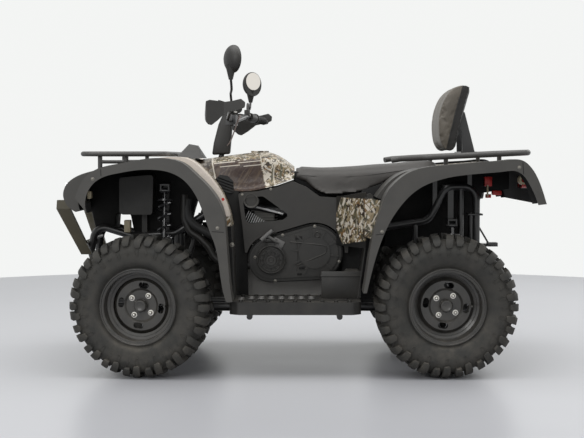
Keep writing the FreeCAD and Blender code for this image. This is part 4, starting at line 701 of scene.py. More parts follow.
def tank_graphic(tree, place, colour):
    at = parts_of(tree, place)
    x, z = at["X"], at["Z"]

    def band(value, low, high, soft=0.001):
        rise = spread(tree, value, low - soft, low + soft)
        return times(tree, rise, spread(tree, value, high - soft, high + soft, *FALLING))

    def both(first, second):
        return times(tree, first, second)

    slant = maths(tree, "ADD", x, times(tree, z, STRIPE_SLANT))
    rise = maths(tree, "ADD", z, times(tree, x, STRIPE_RISE))
    field = both(band(slant, -0.178, 0.040, 0.003), band(rise, 0.70, 0.962, 0.004))
    fade = spread(tree, noise(tree, warped(tree, place, 14.0, 0.05), 16.0, 4.0), 0.40, 0.60)
    red = mixed(tree, fade, FIELD_RED, FIELD_BROWN)
    twigs = reeds(tree, place, (0.0, 0.5, 0.0), 0.010, 0.16, 0.57, 0.59)
    red = mixed(tree, times(tree, twigs, 0.75), red, TWIG)
    colour = mixed(tree, times(tree, field, 0.95), colour, red)
    dark = both(band(slant, -0.250, -0.181, 0.003), band(z, 0.70, 0.945, 0.004))
    colour = mixed(tree, times(tree, dark, 0.72), colour, BARK)
    stripes = (
        both(band(rise, 0.958, 0.9615), band(slant, -0.175, -0.075)),
        both(band(rise, 0.940, 0.9435), band(slant, -0.150, -0.055)),
        both(band(rise, 0.932, 0.9355), band(slant, -0.040, 0.045)),
        both(band(rise, 0.950, 0.9535), band(slant, -0.060, 0.045)),
        both(band(slant, -0.184, -0.179), band(z, 0.815, 0.945)),
        both(band(slant, 0.045, 0.0485), band(z, 0.86, 0.955)),
    )
    for stripe in stripes:
        colour = mixed(tree, times(tree, stripe, INK), colour, PALE)
    flat = vectors(tree, "MULTIPLY", vectors(tree, "SUBTRACT", place, ARC_MIDDLE), (1, 0, 1))
    reach = put(tree, "VectorMath", (0, flat), operation="LENGTH").outputs["Value"]
    arc = both(band(reach, 0.142, 0.148, 0.002), band(x, -0.30, -0.085, 0.003))
    return mixed(tree, times(tree, arc, 0.8), colour, PALE)


TANK_FILM = film("tank_film", tank_graphic)
print("tank film:", len(TANK_FILM.node_tree.nodes), "nodes")

# %% [markdown]
# Seats are covered in vinyl with a leather grain: small raised cells with fine creases between
# them. A Voronoi texture gives the cells, a noise bends them, and the creases are darkened as
# painted shade. The backrest has a light front and dark sides, and the edge between them leans
# as the pad does.

# %% Seat vinyl
PAD_LEAN = 0.2527
PAD_EDGE = 0.4340
EDGE_SOFT = 0.002


def vinyl_group():
    group, start, end = new_group(
        "vinyl_grain", [("Vector", VECTOR, None), ("Scale", FLOAT, 420.0)],
        [("Height", FLOAT), ("Crease shade", FLOAT)],
    )
    bent = warped(group, start.outputs["Vector"], 160.0, 0.0012)
    cells = put(group, "TexVoronoi", ("Vector", bent), ("Scale", start.outputs["Scale"]),
                feature="DISTANCE_TO_EDGE")
    height = spread(group, cells.outputs["Distance"], 0.0, 0.22)
    feed(group, end, "Height", height)
    feed(group, end, "Crease shade", spread(group, height, 0.0, 0.5, *FALLING))
    return group


VINYL = vinyl_group()


def vinyl(name, colour, side_colour=None):
    material, tree, shader, place = new_material(name)
    grain = place_group(tree, VINYL, Vector=place)
    broad = spread(tree, noise(tree, place, 7.0, 4.0), 0.35, 0.65)
    base = mixed(tree, broad, toned(colour, 0.86), toned(colour, 1.18))
    # Painted shade in the creases of the grain.
    base = mixed(tree, times(tree, grain["Crease shade"], 0.45), base, toned(colour, 0.5))
    if side_colour:
        at = parts_of(tree, place)
        behind = maths(tree, "SUBTRACT", at["X"], times(tree, at["Z"], PAD_LEAN))
        side = spread(tree, behind, PAD_EDGE - EDGE_SOFT, PAD_EDGE + EDGE_SOFT)
        base = mixed(tree, side, base, side_colour + (1,))
    feed(tree, shader, "Base Color", base)
    feed(tree, shader, "Roughness", spread(tree, broad, 0.0, 1.0, 0.44, 0.56))
    feed(tree, shader, "Normal", bumped(tree, grain["Height"], 0.22, 0.0005))
    feed(tree, shader, "Specular IOR Level", 0.35)
    return material


SEAT_VINYL = vinyl("seat_vinyl", (0.046, 0.042, 0.038))
PAD_VINYL = vinyl("pad_vinyl", (0.098, 0.085, 0.068), (0.016, 0.015, 0.014))
print("vinyls:", SEAT_VINYL.name, PAD_VINYL.name)

# %% [markdown]
# The flares are moulded in grey, but their undersides lie in the arch, in shade, and look black.
# That shade is painted here. It could be painted black part by part. It is simpler to copy the
# grey finish and let the mask of the bodywork darken what points inwards or down, as painted shade.

# %% Flares: grey outside, painted shade inside
FLARE_GREY_SHADED_INSIDE = PANEL_GREY.copy()
FLARE_GREY_SHADED_INSIDE.name = "flare_grey_painted_shade_inside"
tree = FLARE_GREY_SHADED_INSIDE.node_tree
shader = tree.nodes["Principled BSDF"]
grey = shader.inputs["Base Color"].links[0].from_socket
inside = inside_mask(tree, put(tree, "TexCoord").outputs["Object"], facing(tree))
feed(tree, shader, "Base Color", mixed(tree, inside, grey, MOULD_BLACK_AND_ARCH_SHADE))
print("flares are black inside")

# %% [markdown]
# Every part of the frame now gets its finish. Most are known by name. What is left is moulded
# black plastic, unless its name says that it is a tyre, a rim or a painted steel part.

# %% Every part gets its finish
FINISHES = {
    "front_body": FRONT_FILM, "rear_body": REAR_FILM, "leg_panels": LEG_FILM, "tank_cover": TANK_FILM,
    "front_flares": FLARE_GREY_SHADED_INSIDE, "rear_flares": FLARE_GREY_SHADED_INSIDE,
    "side_panel_left": SIDE_GREY, "side_panel_right": SIDE_GREY,
    "air_vents": INNER_BLACK_AND_SHADE,
    "front_rack": RACK_BLACK, "rear_rack": RACK_BLACK, "exhaust": RACK_BLACK,
    "engine": CAST_GREY, "front_gearcase": CAST_GREY, "rear_gearcase": CAST_GREY,
    "front_bumper": BUMPER_BROWN, "tail_lamps": RED_LENS, "headlamps": LAMP_CLEAR,
    "front_shocks": SPRING_PAINT, "rear_shocks": SPRING_PAINT,
    "seat": SEAT_VINYL, "backrest_pad": PAD_VINYL,
}
PAINTED = ("frame", "cross", "wishbone", "backrest_frame", "column", "handlebar", "hitch", "knuckle",
           "upright", "tie_rod", "half_shaft")
for name, node in nodes.items():
    material = FINISHES.get(name, DEEP_BLACK)
    if name.startswith("tyre"):
        material = TYRE_RUBBER
    elif name.startswith("rim"):
        material = RIM_BLACK
    elif name not in FINISHES and any(word in name for word in PAINTED):
        material = FRAME_BLACK
    node.data.materials.clear()
    node.data.materials.append(material)
print("finishes placed on", len(nodes), "parts")

# %% [markdown]
# The tyres are what the eye meets first. A real one is a smooth carcass with tall rubber lugs
# moulded on it, staggered from side to side, which run down over the shoulder. Each lug is
# drawn flat here, as if the tread were unrolled, pulled up to its height, and then wrapped
# over the carcass: its length follows the carcass line and its width follows the turn.

# %% The carcass line
LUG_TOP = 0.0202
PITCHES = 18
TREAD_RADIUS = 0.289
HALF_PITCH = math.pi * TREAD_RADIUS / PITCHES
LINE_STEP = 0.0015
TYRES = {"front": (0.1025, 0.076), "rear": (0.1275, 0.095)}


def carcass_corners(half, bead):
    """The outline of one side, from half the tyre's width and where its bead sits."""
    return [
        (0.0, TREAD_RADIUS), (half - 0.050, 0.2872), (half - 0.021, 0.272), (half - 0.006, 0.248),
        (half - 0.0055, 0.224), (bead + 0.017, 0.192), (bead + 0.003, 0.174), (bead - 0.001, 0.1685),
        (bead - 0.001, 0.1545),
    ]


def smooth_line(corners):
    """A rounded line through corners, as rows of distance along, outward and radius."""
    points = [np.array(c) for c in corners]
    points = [2 * points[0] - points[1]] + points + [2 * points[-1] - points[-2]]
    line = []
    for a, b, c, d in zip(points, points[1:], points[2:], points[3:]):
        count = max(2, int(np.linalg.norm(c - b) / LINE_STEP))
        for k in range(count):
            t = k / count
            line.append(0.5 * (2 * b + (c - a) * t + (2 * a - 5 * b + 4 * c - d) * t * t
                               + (3 * b - a - 3 * c + d) * t ** 3))
    line.append(points[-2])
    line = np.array(line)
    along = np.concatenate([[0], np.cumsum(np.linalg.norm(np.diff(line, axis=0), axis=1))])
    return np.column_stack([along, line])


def wrap(obj, line, fade):
    """Wraps a flat piece over the carcass: x turns round the axle, y runs along the line.

    Between the first two values of fade its height sinks to the share in the third one.
    """
    slope = np.gradient(line[:, 1:], line[:, 0], axis=0)
    start, end, left = fade
    for corner in obj.data.vertices:
        x, y, height = corner.co
        side = -1 if y < 0 else 1
        along = abs(y)
        out, radius = (np.interp(along, line[:, 0], line[:, k]) for k in (1, 2))
        d_out, d_radius = (np.interp(along, line[:, 0], slope[:, k]) for k in (0, 1))
        size = math.hypot(d_out, d_radius)
        share = 1 - (1 - left) * min(1, max(0, (along - start) / (end - start)))
        raised = height * share if height > 0 else height
        out -= d_radius / size * raised
        radius += d_out / size * raised
        angle = x / TREAD_RADIUS
        corner.co = (radius * math.sin(angle), -side * out, -radius * math.cos(angle))


LINES = {end: smooth_line(carcass_corners(*size)) for end, size in TYRES.items()}
print({name: round(float(line[-1, 0]), 3) for name, line in LINES.items()}, "m down each side")

# %% [markdown]
# A lug is cut across every few millimetres before it is wrapped, because a face can only bend
# where it has edges. The ribs low on the side are thin outlines, two shapes in turn.

# %% Lugs and ribs drawn flat
LUG_FOOT = 0.004
LUG_CUTS = 0.010
RIB_CUTS = 0.006


def flat_block(points, height, cuts):
    obj = plate([(x, y, -LUG_FOOT) for x, y in points], (0, 0, height + LUG_FOOT))
    hold(obj)
    bpy.ops.object.mode_set(mode="EDIT")
    low, high = min(y for x, y in points), max(y for x, y in points)
    for k in range(1, int((high - low) / cuts) + 1):
        bpy.ops.mesh.select_all(action="SELECT")
        bpy.ops.mesh.bisect(plane_co=(0, low + k * cuts, 0), plane_no=(0, 1, 0))
    bpy.ops.mesh.select_all(action="SELECT")
    bpy.ops.mesh.bisect(plane_co=(0, 0, 0), plane_no=(1, 0, 0))
    bpy.ops.object.mode_set(mode="OBJECT")
    return obj


def tread_blocks(half):
    """The long lug, the short one between two long ones, and the side's two ribs in turn."""
    edge = half + 0.006
    long_lug = flat_block([
        (0.010, 0.003), (-0.014, 0.006), (-0.026, half * 0.52), (-0.020, half - 0.010),
        (-0.017, edge), (0.005, edge + 0.004), (0.012, edge - 0.002), (0.012, half - 0.014),
        (0.001, half * 0.50),
    ], LUG_TOP, LUG_CUTS)
    short_lug = flat_block([
        (-0.016, half * 0.50), (0.010, half * 0.44), (0.017, half - 0.016), (0.013, half - 0.002),
        (-0.010, half - 0.002), (-0.016, half - 0.014),
    ], LUG_TOP, LUG_CUTS)
    short_lug.location.x = HALF_PITCH
    hook = flat_block([
        (-0.011, edge + 0.006), (-0.0085, edge + 0.006), (-0.0075, edge + 0.030),
        (-0.004, edge + 0.034), (0.001, edge + 0.034), (0.0045, edge + 0.030), (0.007, edge + 0.008),
        (0.0095, edge + 0.008), (0.007, edge + 0.032), (0.002, edge + 0.037), (-0.005, edge + 0.037),
        (-0.010, edge + 0.032),
    ], 0.0022, RIB_CUTS)
    star = flat_block([
        (-0.0015, edge + 0.001), (0.002, edge + 0.001), (0.003, edge + 0.012), (0.011, edge + 0.016),
        (0.011, edge + 0.019), (0.0035, edge + 0.019), (0.002, edge + 0.030), (-0.0015, edge + 0.030),
        (-0.003, edge + 0.019), (-0.011, edge + 0.022), (-0.011, edge + 0.019), (-0.004, edge + 0.013),
    ], 0.0020, RIB_CUTS)
    star.location.x = HALF_PITCH
    return long_lug, settled(short_lug), hook, settled(star)


# %% [markdown]
# The carcass is its line spun round the axle, hollow, with its inner wall drawn too. The lugs
# and ribs of one pitch are wrapped over it on the left, and their mirror images on the right,
# half a pitch further on. Then all are copied round the axle, pitch by pitch.

# %% A whole tyre
LUG_ROUND = 0.0014
RIB_ROUND = 0.0006
NO_FADE = (1.0, 2.0, 1.0)


def tyre(line, half, bead):
    half_line = [(a, r) for _, a, r in line[::2]]
    outer = [(-a, r) for a, r in half_line][::-1] + half_line[1:]
    inner = [(bead - 0.012, 0.158), (half - 0.018, 0.224), (half - 0.030, 0.262), (0.0, 0.279)]
    inner += [(-a, r) for a, r in inner[-2::-1]]
    pieces = [turn(outer + inner + outer[:1], 144)]
    down_the_side = (half - 0.014, half + 0.012, 0.30)
    ways = ((down_the_side, LUG_ROUND),) * 2 + ((NO_FADE, RIB_ROUND),) * 2
    for block, (fade, width) in zip(tread_blocks(half), ways):
        other = mirrored(settled(placed_copy(block, Matrix.Translation((HALF_PITCH, 0, 0)))))
        for piece in (block, other):
            wrap(piece, line, fade)
            rounded(piece, width, limit=38)
            pieces += [placed_copy(piece, Matrix.Rotation(2 * math.pi * k / PITCHES, 4, "Y"))
                       for k in range(PITCHES)]
            removed(piece)
    return joined(pieces)


def wheel_place(end, side):
    """Where a wheel made for the left side goes. On the right it is a mirror image."""
    joint = joints[end + "_wheel_" + side + "_spin"]
    return frame_at(joint["pos_m"], joint["axis"])


def both_wheels(model, end, name, material, slot, **settings):
    """Puts a left wheel's piece on both sides and removes the model."""
    for side in ("left", "right"):
        piece = placed_copy(model)
        if side == "right":
            mirrored(piece)
        piece.matrix_world = wheel_place(end, side)
        wheel = end + "_" + side
        done(piece, name + "_" + wheel, "wheel_" + wheel, material, slot, **settings)
    removed(model)


for end, (half, bead) in TYRES.items():
    model = tyre(LINES[end], half, bead)
    print(end, "tyre:", len(model.data.polygons), "faces")
    both_wheels(model, end, "lugged_tyre", TYRE_RUBBER, "tyre")
for side in ("left", "right"):
    for end in ("front", "rear"):
        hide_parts("tyre_" + end + "_" + side)

# %% [markdown]
# On the rims sit four domed nuts, the ring that locks the bead, a cap over the axle nut and a
# valve. The depth of the dish is measured on the rim itself: a ray is sent in along the axle,
# and where it meets the pressed disc the nut's washer lies flat.

# %% Wheel nuts, caps, rings and valves
def tree_of(*pieces):
    """One search tree over the meshes of parts, given by name, or of pieces made here."""
    corners, faces = [], []
    for piece in pieces:
        mesh = nodes[piece].data if isinstance(piece, str) else piece.data
        start = len(corners)
        corners += [v.co.copy() for v in mesh.vertices]
        faces += [[start + i for i in p.vertices] for p in mesh.polygons]
    return BVHTree.FromPolygons(corners, faces)


NUT = [(0.0, 0.0125), (-0.0015, 0.0125), (-0.0018, 0.0085), (-0.009, 0.0082), (-0.0125, 0.0068),
       (-0.0152, 0.0038), (-0.0160, 0.0)]
CAP = [(0.002, 0.0285), (-0.003, 0.0285), (-0.006, 0.0265), (-0.010, 0.0258), (-0.0125, 0.0235),
       (-0.0130, 0.0195), (-0.0118, 0.0180), (-0.0118, 0.0)]
VALVE = [(0.006, 0.0045), (-0.006, 0.0045), (-0.009, 0.0034), (-0.022, 0.0030), (-0.023, 0.0040),
         (-0.033, 0.0040), (-0.034, 0.0)]
NUT_SPOTS = [(0.052 * math.cos(a), 0.052 * math.sin(a))
             for a in (math.radians(53 + 90 * i) for i in range(4))]
RIM_BEADS = ((0.1625, 0.0022), (0.1515, 0.0016), (0.1335, 0.0018))
VALVE_SPOT = 0.108
RAY_START = 0.4


def round_bead(radius, thickness):
    profile = [(thickness * math.cos(a), radius + thickness * math.sin(a))
               for a in np.linspace(0, 2 * math.pi, 11)]
    return turn(profile, 96)


for end in TYRES:
    rim_tree = tree_of("rim_" + end + "_left")
    place = wheel_place(end, "left")

    def depth(across, up=0.0):
        """How far in the pressed disc lies, where a ray along the axle meets it."""
        start = place @ Vector((across, -RAY_START, up))
        way = place.to_3x3() @ Vector((0, 1, 0))
        return rim_tree.ray_cast(start, way)[3] - RAY_START

    nuts = []
    for x, z in NUT_SPOTS:
        nuts.append(turn(NUT, 24))
        nuts[-1].location = (x, depth(x, z), z)
    print(end, "disc lies", [round(depth(x, z), 4) for x, z in NUT_SPOTS], "m from the middle")
    both_wheels(joined(nuts), end, "wheel_nuts", BARE_ZINC, "black_steel", angle=40)
    cap = turn(CAP, 40)
    cap.location.y = depth(0)
    beads = []
    for radius, thickness in RIM_BEADS:
        beads.append(round_bead(radius, thickness))
        beads[-1].location.y = depth(radius)
    valve = turn(VALVE, 16)
    valve.location = (VALVE_SPOT, depth(VALVE_SPOT), 0.0)
    both_wheels(joined([cap] + beads + [valve]), end, "rim_trim", RIM_BLACK, "black_steel", angle=40)

# %% [markdown]
# Seat and backrest are foam under stretched vinyl. Each starts as its plain solid, a little
# smaller, is remeshed into even faces, and is then blown up from inside as cloth: the vinyl
# bulges between its edges as it does over foam. No point may move further than a set reach.

# %% Blowing up a cushion
CLOTH_STEPS = 20


def copy_of(node, name):
    """A merged copy of a part's mesh as a new piece."""
    obj = bpy.data.objects.new(name, nodes[node].data.copy())
    bpy.context.scene.collection.objects.link(obj)
    hold(obj)
    bpy.ops.object.mode_set(mode="EDIT")
    bpy.ops.mesh.select_all(action="SELECT")
    bpy.ops.mesh.remove_doubles(threshold=SAME_PLACE)
    bpy.ops.object.mode_set(mode="OBJECT")
    return obj


def shrunk(obj, by):
    """Moves every side inwards, with the middle kept."""
    corners = np.array([v.co for v in obj.data.vertices])
    low, high = corners.min(0), corners.max(0)
    middle, half = (low + high) / 2, (high - low) / 2
    for corner in obj.data.vertices:
        for k in range(3):
            corner.co[k] = middle[k] + (corner.co[k] - middle[k]) * (half[k] - by) / half[k]
    return obj


def swollen(obj, pressure, reach):
    """Blows the mesh up as cloth, and holds every point within its reach."""
    start = np.array([v.co for v in obj.data.vertices])
    cloth = obj.modifiers.new("cloth", "CLOTH")
    cloth.settings.use_pressure = True
    cloth.settings.uniform_pressure_force = pressure
    cloth.settings.effector_weights.gravity = 0
    cloth.settings.quality = 5
    cloth.settings.tension_stiffness = 18
    cloth.settings.compression_stiffness = 18
    cloth.settings.bending_stiffness = 0.6
    for step in range(1, CLOTH_STEPS + 1):
        bpy.context.scene.frame_set(step)
    bpy.ops.object.modifier_apply(modifier="cloth")
    bpy.context.scene.frame_set(1)
    move = np.array([v.co for v in obj.data.vertices]) - start
    size = np.linalg.norm(move, axis=1, keepdims=True)
    end = start + move * np.minimum(1, reach / np.maximum(size, 1e-9))
    obj.data.vertices.foreach_set("co", end.ravel())
    print(obj.name, "bulged by up to", round(float(size.max() * 1000), 1), "mm before the cap")


def blown_up(obj, voxel, pressure, reach, smoothing):
    hold(obj)
    remesh = obj.modifiers.new("remesh", "REMESH")
    remesh.mode = "VOXEL"
    remesh.voxel_size = voxel
    bpy.ops.object.modifier_apply(modifier="remesh")
    swollen(obj, pressure, reach)
    for kind, settings in (("CORRECTIVE_SMOOTH", {"iterations": smoothing, "factor": 0.5}),
                           ("SUBSURF", {"levels": 1, "render_levels": 1})):
        modifier = obj.modifiers.new("soften", kind)
        for key, value in settings.items():
            setattr(modifier, key, value)
        bpy.ops.object.modifier_apply(modifier="soften")
    return obj


# %% [markdown]
# The seat's nose is drawn out a little over the tank before it is blown up. The backrest's pad
# is made thinner towards its back plate, and smoothed more, since it is the softer of the two.

# %% Seat and backrest
NOSE_LENGTH = 0.03
NOSE_REACH = 0.010
PAD_DEPTH = 0.83

seat = shrunk(copy_of("seat", "seat_cover"), 0.002)
seat_front = min(v.co.x for v in seat.data.vertices)
for corner in seat.data.vertices:
    if corner.co.x < seat_front + NOSE_LENGTH:
        corner.co.x -= NOSE_REACH
blown_up(seat, voxel=0.007, pressure=3.0, reach=0.004, smoothing=2)
done(seat, "seat_cushion", "chassis", SEAT_VINYL, "seat_cover", angle=60)
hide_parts("seat")

pad = shrunk(copy_of("backrest_pad", "pad_cover"), 0.003)
pad_back = max(v.co.x for v in pad.data.vertices)
for corner in pad.data.vertices:
    corner.co.x = pad_back - PAD_DEPTH * (pad_back - corner.co.x)
blown_up(pad, voxel=0.006, pressure=4.0, reach=0.006, smoothing=30)
done(pad, "backrest_cushion", "chassis", PAD_VINYL, "seat_cover", angle=60)
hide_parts("backrest_pad")
print("seat:", len(seat.data.polygons), "pad:", len(pad.data.polygons), "faces")

# %% [markdown]
# A piping cord runs round the backrest where its light front meets its dark sides, and a seam
# crosses the seat's flanks. Each is a thin tube laid on the padding: its points are found by
# rays sent at the padding, so the tube lies on the bulged surface and never floats.

# %% Tubes laid on a surface
def tube_along(points, radius, smooth=True, closed=False):
    """A round tube along points, made from a curve and turned into a mesh."""
    curve = bpy.data.curves.new("run", "CURVE")
    curve.dimensions = "3D"
    curve.bevel_depth = radius
    curve.bevel_resolution = 5
    curve.use_fill_caps = not closed
    spline = curve.splines.new("NURBS" if smooth else "POLY")
    spline.points.add(len(points) - 1)
    for target, point in zip(spline.points, points):
        target.co = (*point, 1)
    if smooth:
        spline.order_u = 4
        spline.use_endpoint_u = not closed
        spline.resolution_u = 6
    spline.use_cyclic_u = closed
    obj = bpy.data.objects.new("run", curve)
    bpy.context.scene.collection.objects.link(obj)
    hold(obj)
    bpy.ops.object.convert(target="MESH")
    return bpy.context.object


LEFT_TO_RIGHT = (0, 1, 0)


def laid_on(tree, points, way=LEFT_TO_RIGHT, lift=0.0):
    """Sends each point along a direction until it meets the surface."""
    way = Vector(way).normalized()
    hits = []
    for point in points:
        place, normal, _, _ = tree.ray_cast(Vector(point) - way * 1.5, way)
        if place:
            hits.append(place + normal * lift)
    return hits


# %% [markdown]
# The seat's seam is drawn in the side view and falls on the left flank. The welt of the
# backrest follows the edge between the cover's two colours: up one side, over the top, down
# the other side and back along the foot, as one closed cord.

# %% Seam and welt
SEAM = ((0.028, 0.868), (0.08, 0.866), (0.15, 0.862), (0.24, 0.862), (0.34, 0.870), (0.44, 0.885),
        (0.53, 0.897), (0.62, 0.903))
seam = tube_along(laid_on(tree_of(seat), [(x, 0, z) for x, z in SEAM], lift=0.0004), 0.0016)
done(mirrored_pair(seam), "seat_piping", "chassis", SEAT_VINYL, "seat_cover")


def cover_edge(z):
    """Where the light front of the cover meets its dark side, at a height."""
    return PAD_EDGE + PAD_LEAN * z


pad_tree = tree_of(pad)
low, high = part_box("backrest_pad")
up = [(cover_edge(z), 0, z) for z in np.linspace(low[2] + 0.030, high[2] - 0.045, 9)]
over = [(cover_edge(high[2] - 0.010), y, 0) for y in np.linspace(low[1] + 0.060, high[1] - 0.060, 6)]
back = [(cover_edge(low[2] + 0.010), y, 0) for _, y, _ in over[::-1]]
rim = []
for run, way in ((up, (0, 1, 0)), (over, (0, 0, -1)), (up[::-1], (0, -1, 0)), (back, (0, 0, 1))):
    rim += laid_on(pad_tree, run, way, 0.0006)
print("the welt follows", len(rim), "points")
done(tube_along(rim, 0.0020, closed=True), "backrest_piping", "chassis", SOFT_RUBBER, "seat_cover")

# %% [markdown]
# Seen from the side, the wheel arches and the gap behind the front mudguard are nearly black,
# because they lie in shade behind the suspension. That shade is painted with thin dark sheets:
# outlines in the side view, pulled a few millimetres thick, close to the frame tubes that carry them.

# %% Sheets of painted shade
def side_sheet(points, y, thickness):
    return plate([(x, y, z) for x, z in points], (0, thickness, 0))


# A dark sheet of painted shade.
def shade_liner(obj, name, bevel=0.0):
    done(obj, name, "chassis", INNER_BLACK_AND_SHADE, "black_plastic", bevel=bevel)


arch_shade = [(-0.955, 0.845), (-0.955, 0.720), (-0.930, 0.612), (-0.842, 0.612), (-0.836, 0.688),
       (-0.770, 0.688), (-0.752, 0.598), (-0.505, 0.598), (-0.480, 0.700), (-0.450, 0.800),
       (-0.435, 0.905), (-0.800, 0.905)]
shin = [(-0.352, 0.800), (-0.262, 0.800), (-0.224, 0.640), (-0.216, 0.312), (-0.322, 0.312),
        (-0.336, 0.600)]
rear_leg = [(0.345, 0.305), (0.205, 0.305), (0.215, 0.560), (0.250, 0.700), (0.300, 0.800),
            (0.440, 0.850), (0.445, 0.760), (0.405, 0.660), (0.366, 0.540)]
under_seat = [(-0.012, 0.885), (-0.012, 0.845), (0.050, 0.805), (0.118, 0.765), (0.330, 0.765),
              (0.400, 0.820), (0.500, 0.862), (0.500, 0.880), (0.380, 0.850), (0.300, 0.805),
              (0.120, 0.800), (0.052, 0.845), (0.010, 0.885)]
shade_liner(side_sheet(arch_shade, -0.084, 0.168), "front_arch_shade_sheet", bevel=0.008)
shade_liner(mirrored_pair(side_sheet(shin, -0.212, 0.006)), "shin_shade_sheets", bevel=0.002)
shade_liner(mirrored_pair(side_sheet(rear_leg, -0.195, 0.006)), "rear_leg_shade_sheets", bevel=0.002)
shade_liner(side_sheet(under_seat, -0.118, 0.236), "seat_base_trim", bevel=0.004)
print("liners made:", made[-4:])

# %% [markdown]
# Between the two sides of the machine it is too dark to see through. One more sheet of painted
# shade stands on the middle plane behind the engine, one in the rear arch, and a flap hangs in the front
# arch.

# %% Middle sheets of painted shade
middle = [(-0.262, 0.300), (0.320, 0.300), (0.420, 0.560), (0.420, 0.760), (-0.262, 0.790)]
rear_middle = [(0.392, 0.530), (0.415, 0.694), (0.480, 0.800), (0.587, 0.850), (0.680, 0.880),
               (0.873, 0.898), (1.000, 0.892), (1.000, 0.802), (0.873, 0.784), (0.850, 0.690),
               (0.808, 0.690), (0.805, 0.560)]
flap = [(-0.452, 0.500), (-0.330, 0.500), (-0.330, 0.640), (-0.452, 0.640)]
shade_liner(side_sheet(middle, -0.003, 0.006), "middle_shade_sheet", bevel=0.001)
shade_liner(side_sheet(rear_middle, -0.003, 0.006), "rear_middle_shade_sheet", bevel=0.001)
shade_liner(side_sheet(flap, 0.130, 0.004), "front_arch_shade_flap")
print("middle liners made:", made[-3:])

# %% [markdown]
# Bolts and plugs are put on by rays: each is given its place in the side view, the ray finds
# the panel behind it, and the head is set against the panel along its normal.

# %% Bolt heads
def bolt_head(radius, height):
    """A washer with a domed head, along the Y axis, its foot at the origin."""
    return turn([(-0.001, 0.0003), (-0.001, radius), (height * 0.25, radius),
                 (height * 0.3, radius * 0.68), (height * 0.75, radius * 0.6),
                 (height, radius * 0.25), (height, 0.0003)], 16)


def side_heads(name, nodes_behind, places, radius, height, material=DULL_BOLT, body="chassis",
               mirror=True):
    """Heads on both sides of the machine at places given as (x, z)."""
    tree = tree_of(*nodes_behind)
    model = bolt_head(radius, height)
    heads = []
    for x, z in places:
        for side in ((-1, 1) if mirror else (-1,)):
            hit, normal, _, _ = tree.ray_cast(Vector((x, side * 1.5, z)), Vector((0, -side, 0)))
            if hit is None or abs(hit.y) > 0.7:
                print("no panel behind", name, x, z)
                continue
            out = normal if normal.y * side > 0 else -normal
            heads.append(placed_copy(model, frame_at(hit, out)))
    removed(model)
    done(joined(heads), name, body, material, "cast_alloy")


side_heads("side_panel_bolts", ["side_panel_left", "side_panel_right"],
           [(-0.2426, 0.7825), (-0.1135, 0.8075)], 0.0060, 0.004)
side_heads("leg_guard_bolts", ["footwell_left", "footwell_right", "leg_panels", "front_body"],
           [(-0.279, 0.5695)], 0.010, 0.006)
side_heads("flare_bolts", ["front_flares", "rear_flares"],
           [(-0.333, 0.650), (0.367, 0.635), (-0.862, 0.858), (0.947, 0.908)], 0.0078, 0.005)
side_heads("belt_cover_bolts", ["cvt_cover"],
           [(0.085, 0.640), (-0.060, 0.600), (-0.185, 0.500), (0.195, 0.480), (-0.0935, 0.392),
            (0.060, 0.388), (0.150, 0.410)], 0.0068, 0.005, mirror=False)
print("heads set:", made[-4:])

# %% [markdown]
# The belt housing and the hand starter on it carry the ribs and rings that make them read as
# castings: a raised border and the painted shade of shallow hollows on the housing, rings round the
# starter and a pull handle. Ribs are tubes laid on the housing, so that half of each stands out of it.
# Each hollow is a flat dark block on the face, its darkness painted shade.

# %% Belt housing
def ring_of(radius, thick, place, axis, steps=40):
    let_go()
    bpy.ops.mesh.primitive_torus_add(major_radius=radius, minor_radius=thick, major_segments=steps,
                                     minor_segments=10)
    hoop = bpy.context.object
    hoop.matrix_world = frame_at(place, axis) @ Matrix.Rotation(math.pi / 2, 4, "X")
    return settled(hoop)


def box_at(middle, size):
    """A box whose edges are rounded when it is done."""
    let_go()
    bpy.ops.mesh.primitive_cube_add(size=1, location=middle)
    piece = bpy.context.object
    piece.scale = size
    return piece


OUT_LEFT = (0, -1, 0)
COVER_FACE = -0.2475
BORDER = ((-0.027, 0.569), (0.060, 0.562), (0.128, 0.556), (0.140, 0.547), (0.136, 0.520),
          (0.120, 0.512), (0.060, 0.487), (0.004, 0.463))
UPRIGHT_RIB = ((-0.006, 0.600), (0.008, 0.560), (0.012, 0.500), (0.004, 0.440))
LOWER_RIB = ((0.020, 0.440), (0.100, 0.470), (0.190, 0.500))
RECESS_SHADE_PATCHES = ((0.0126, 0.588, 0.030, 0.015), (0.026, 0.452, 0.026, 0.011), (0.016, 0.424, 0.020, 0.010))

cover_tree = tree_of("cvt_cover", "recoil_starter")
ribs = [tube_along(laid_on(cover_tree, [(x, 0, z) for x, z in line]), radius)
        for line, radius in ((BORDER, 0.003), (UPRIGHT_RIB, 0.0022), (LOWER_RIB, 0.0022))]
ribs.append(ring_of(0.012, 0.0028, (0.097, COVER_FACE, 0.6035), OUT_LEFT))
done(joined(ribs), "belt_cover_ribs", "chassis", SIDE_GREY, "black_plastic")
recess_shades = [box_at((x, COVER_FACE, z), (wide, 0.006, high)) for x, z, wide, high in RECESS_SHADE_PATCHES]
done(joined(recess_shades), "belt_cover_recess_shades", "chassis", INNER_BLACK_AND_SHADE, "black_plastic", bevel=0.001)
print("belt housing dressed:", made[-2:])

# %% [markdown]
# The hand starter is a flat drum with fine rings, and its handle a short bar on a stalk that
# leans against the housing. The rings are turned, the handle is two tubes and a flat foot.

# %% Hand starter
# Plain grey of the starter handle; on the footboard pegs it is also a painted highlight.
LEVER_AND_PEG_HIGHLIGHT_GREY = finish("lever_and_peg_highlight_grey", (0.105, 0.102, 0.098), 0.45, grain=(700.0, 0.2))
STARTER_MIDDLE = Vector((-0.1115, -0.2745, 0.4917))
STARTER_RINGS = ((0.0615, 0.0034, 0.0045), (0.0510, 0.0016, 0.0005), (0.0370, 0.0014, 0.0005),
                 (0.0240, 0.0014, 0.0005), (0.0110, 0.0022, 0.0005))
GRIP_ENDS = Vector((-0.1560, -0.2800, 0.5790)), Vector((-0.1060, -0.2800, 0.6230))

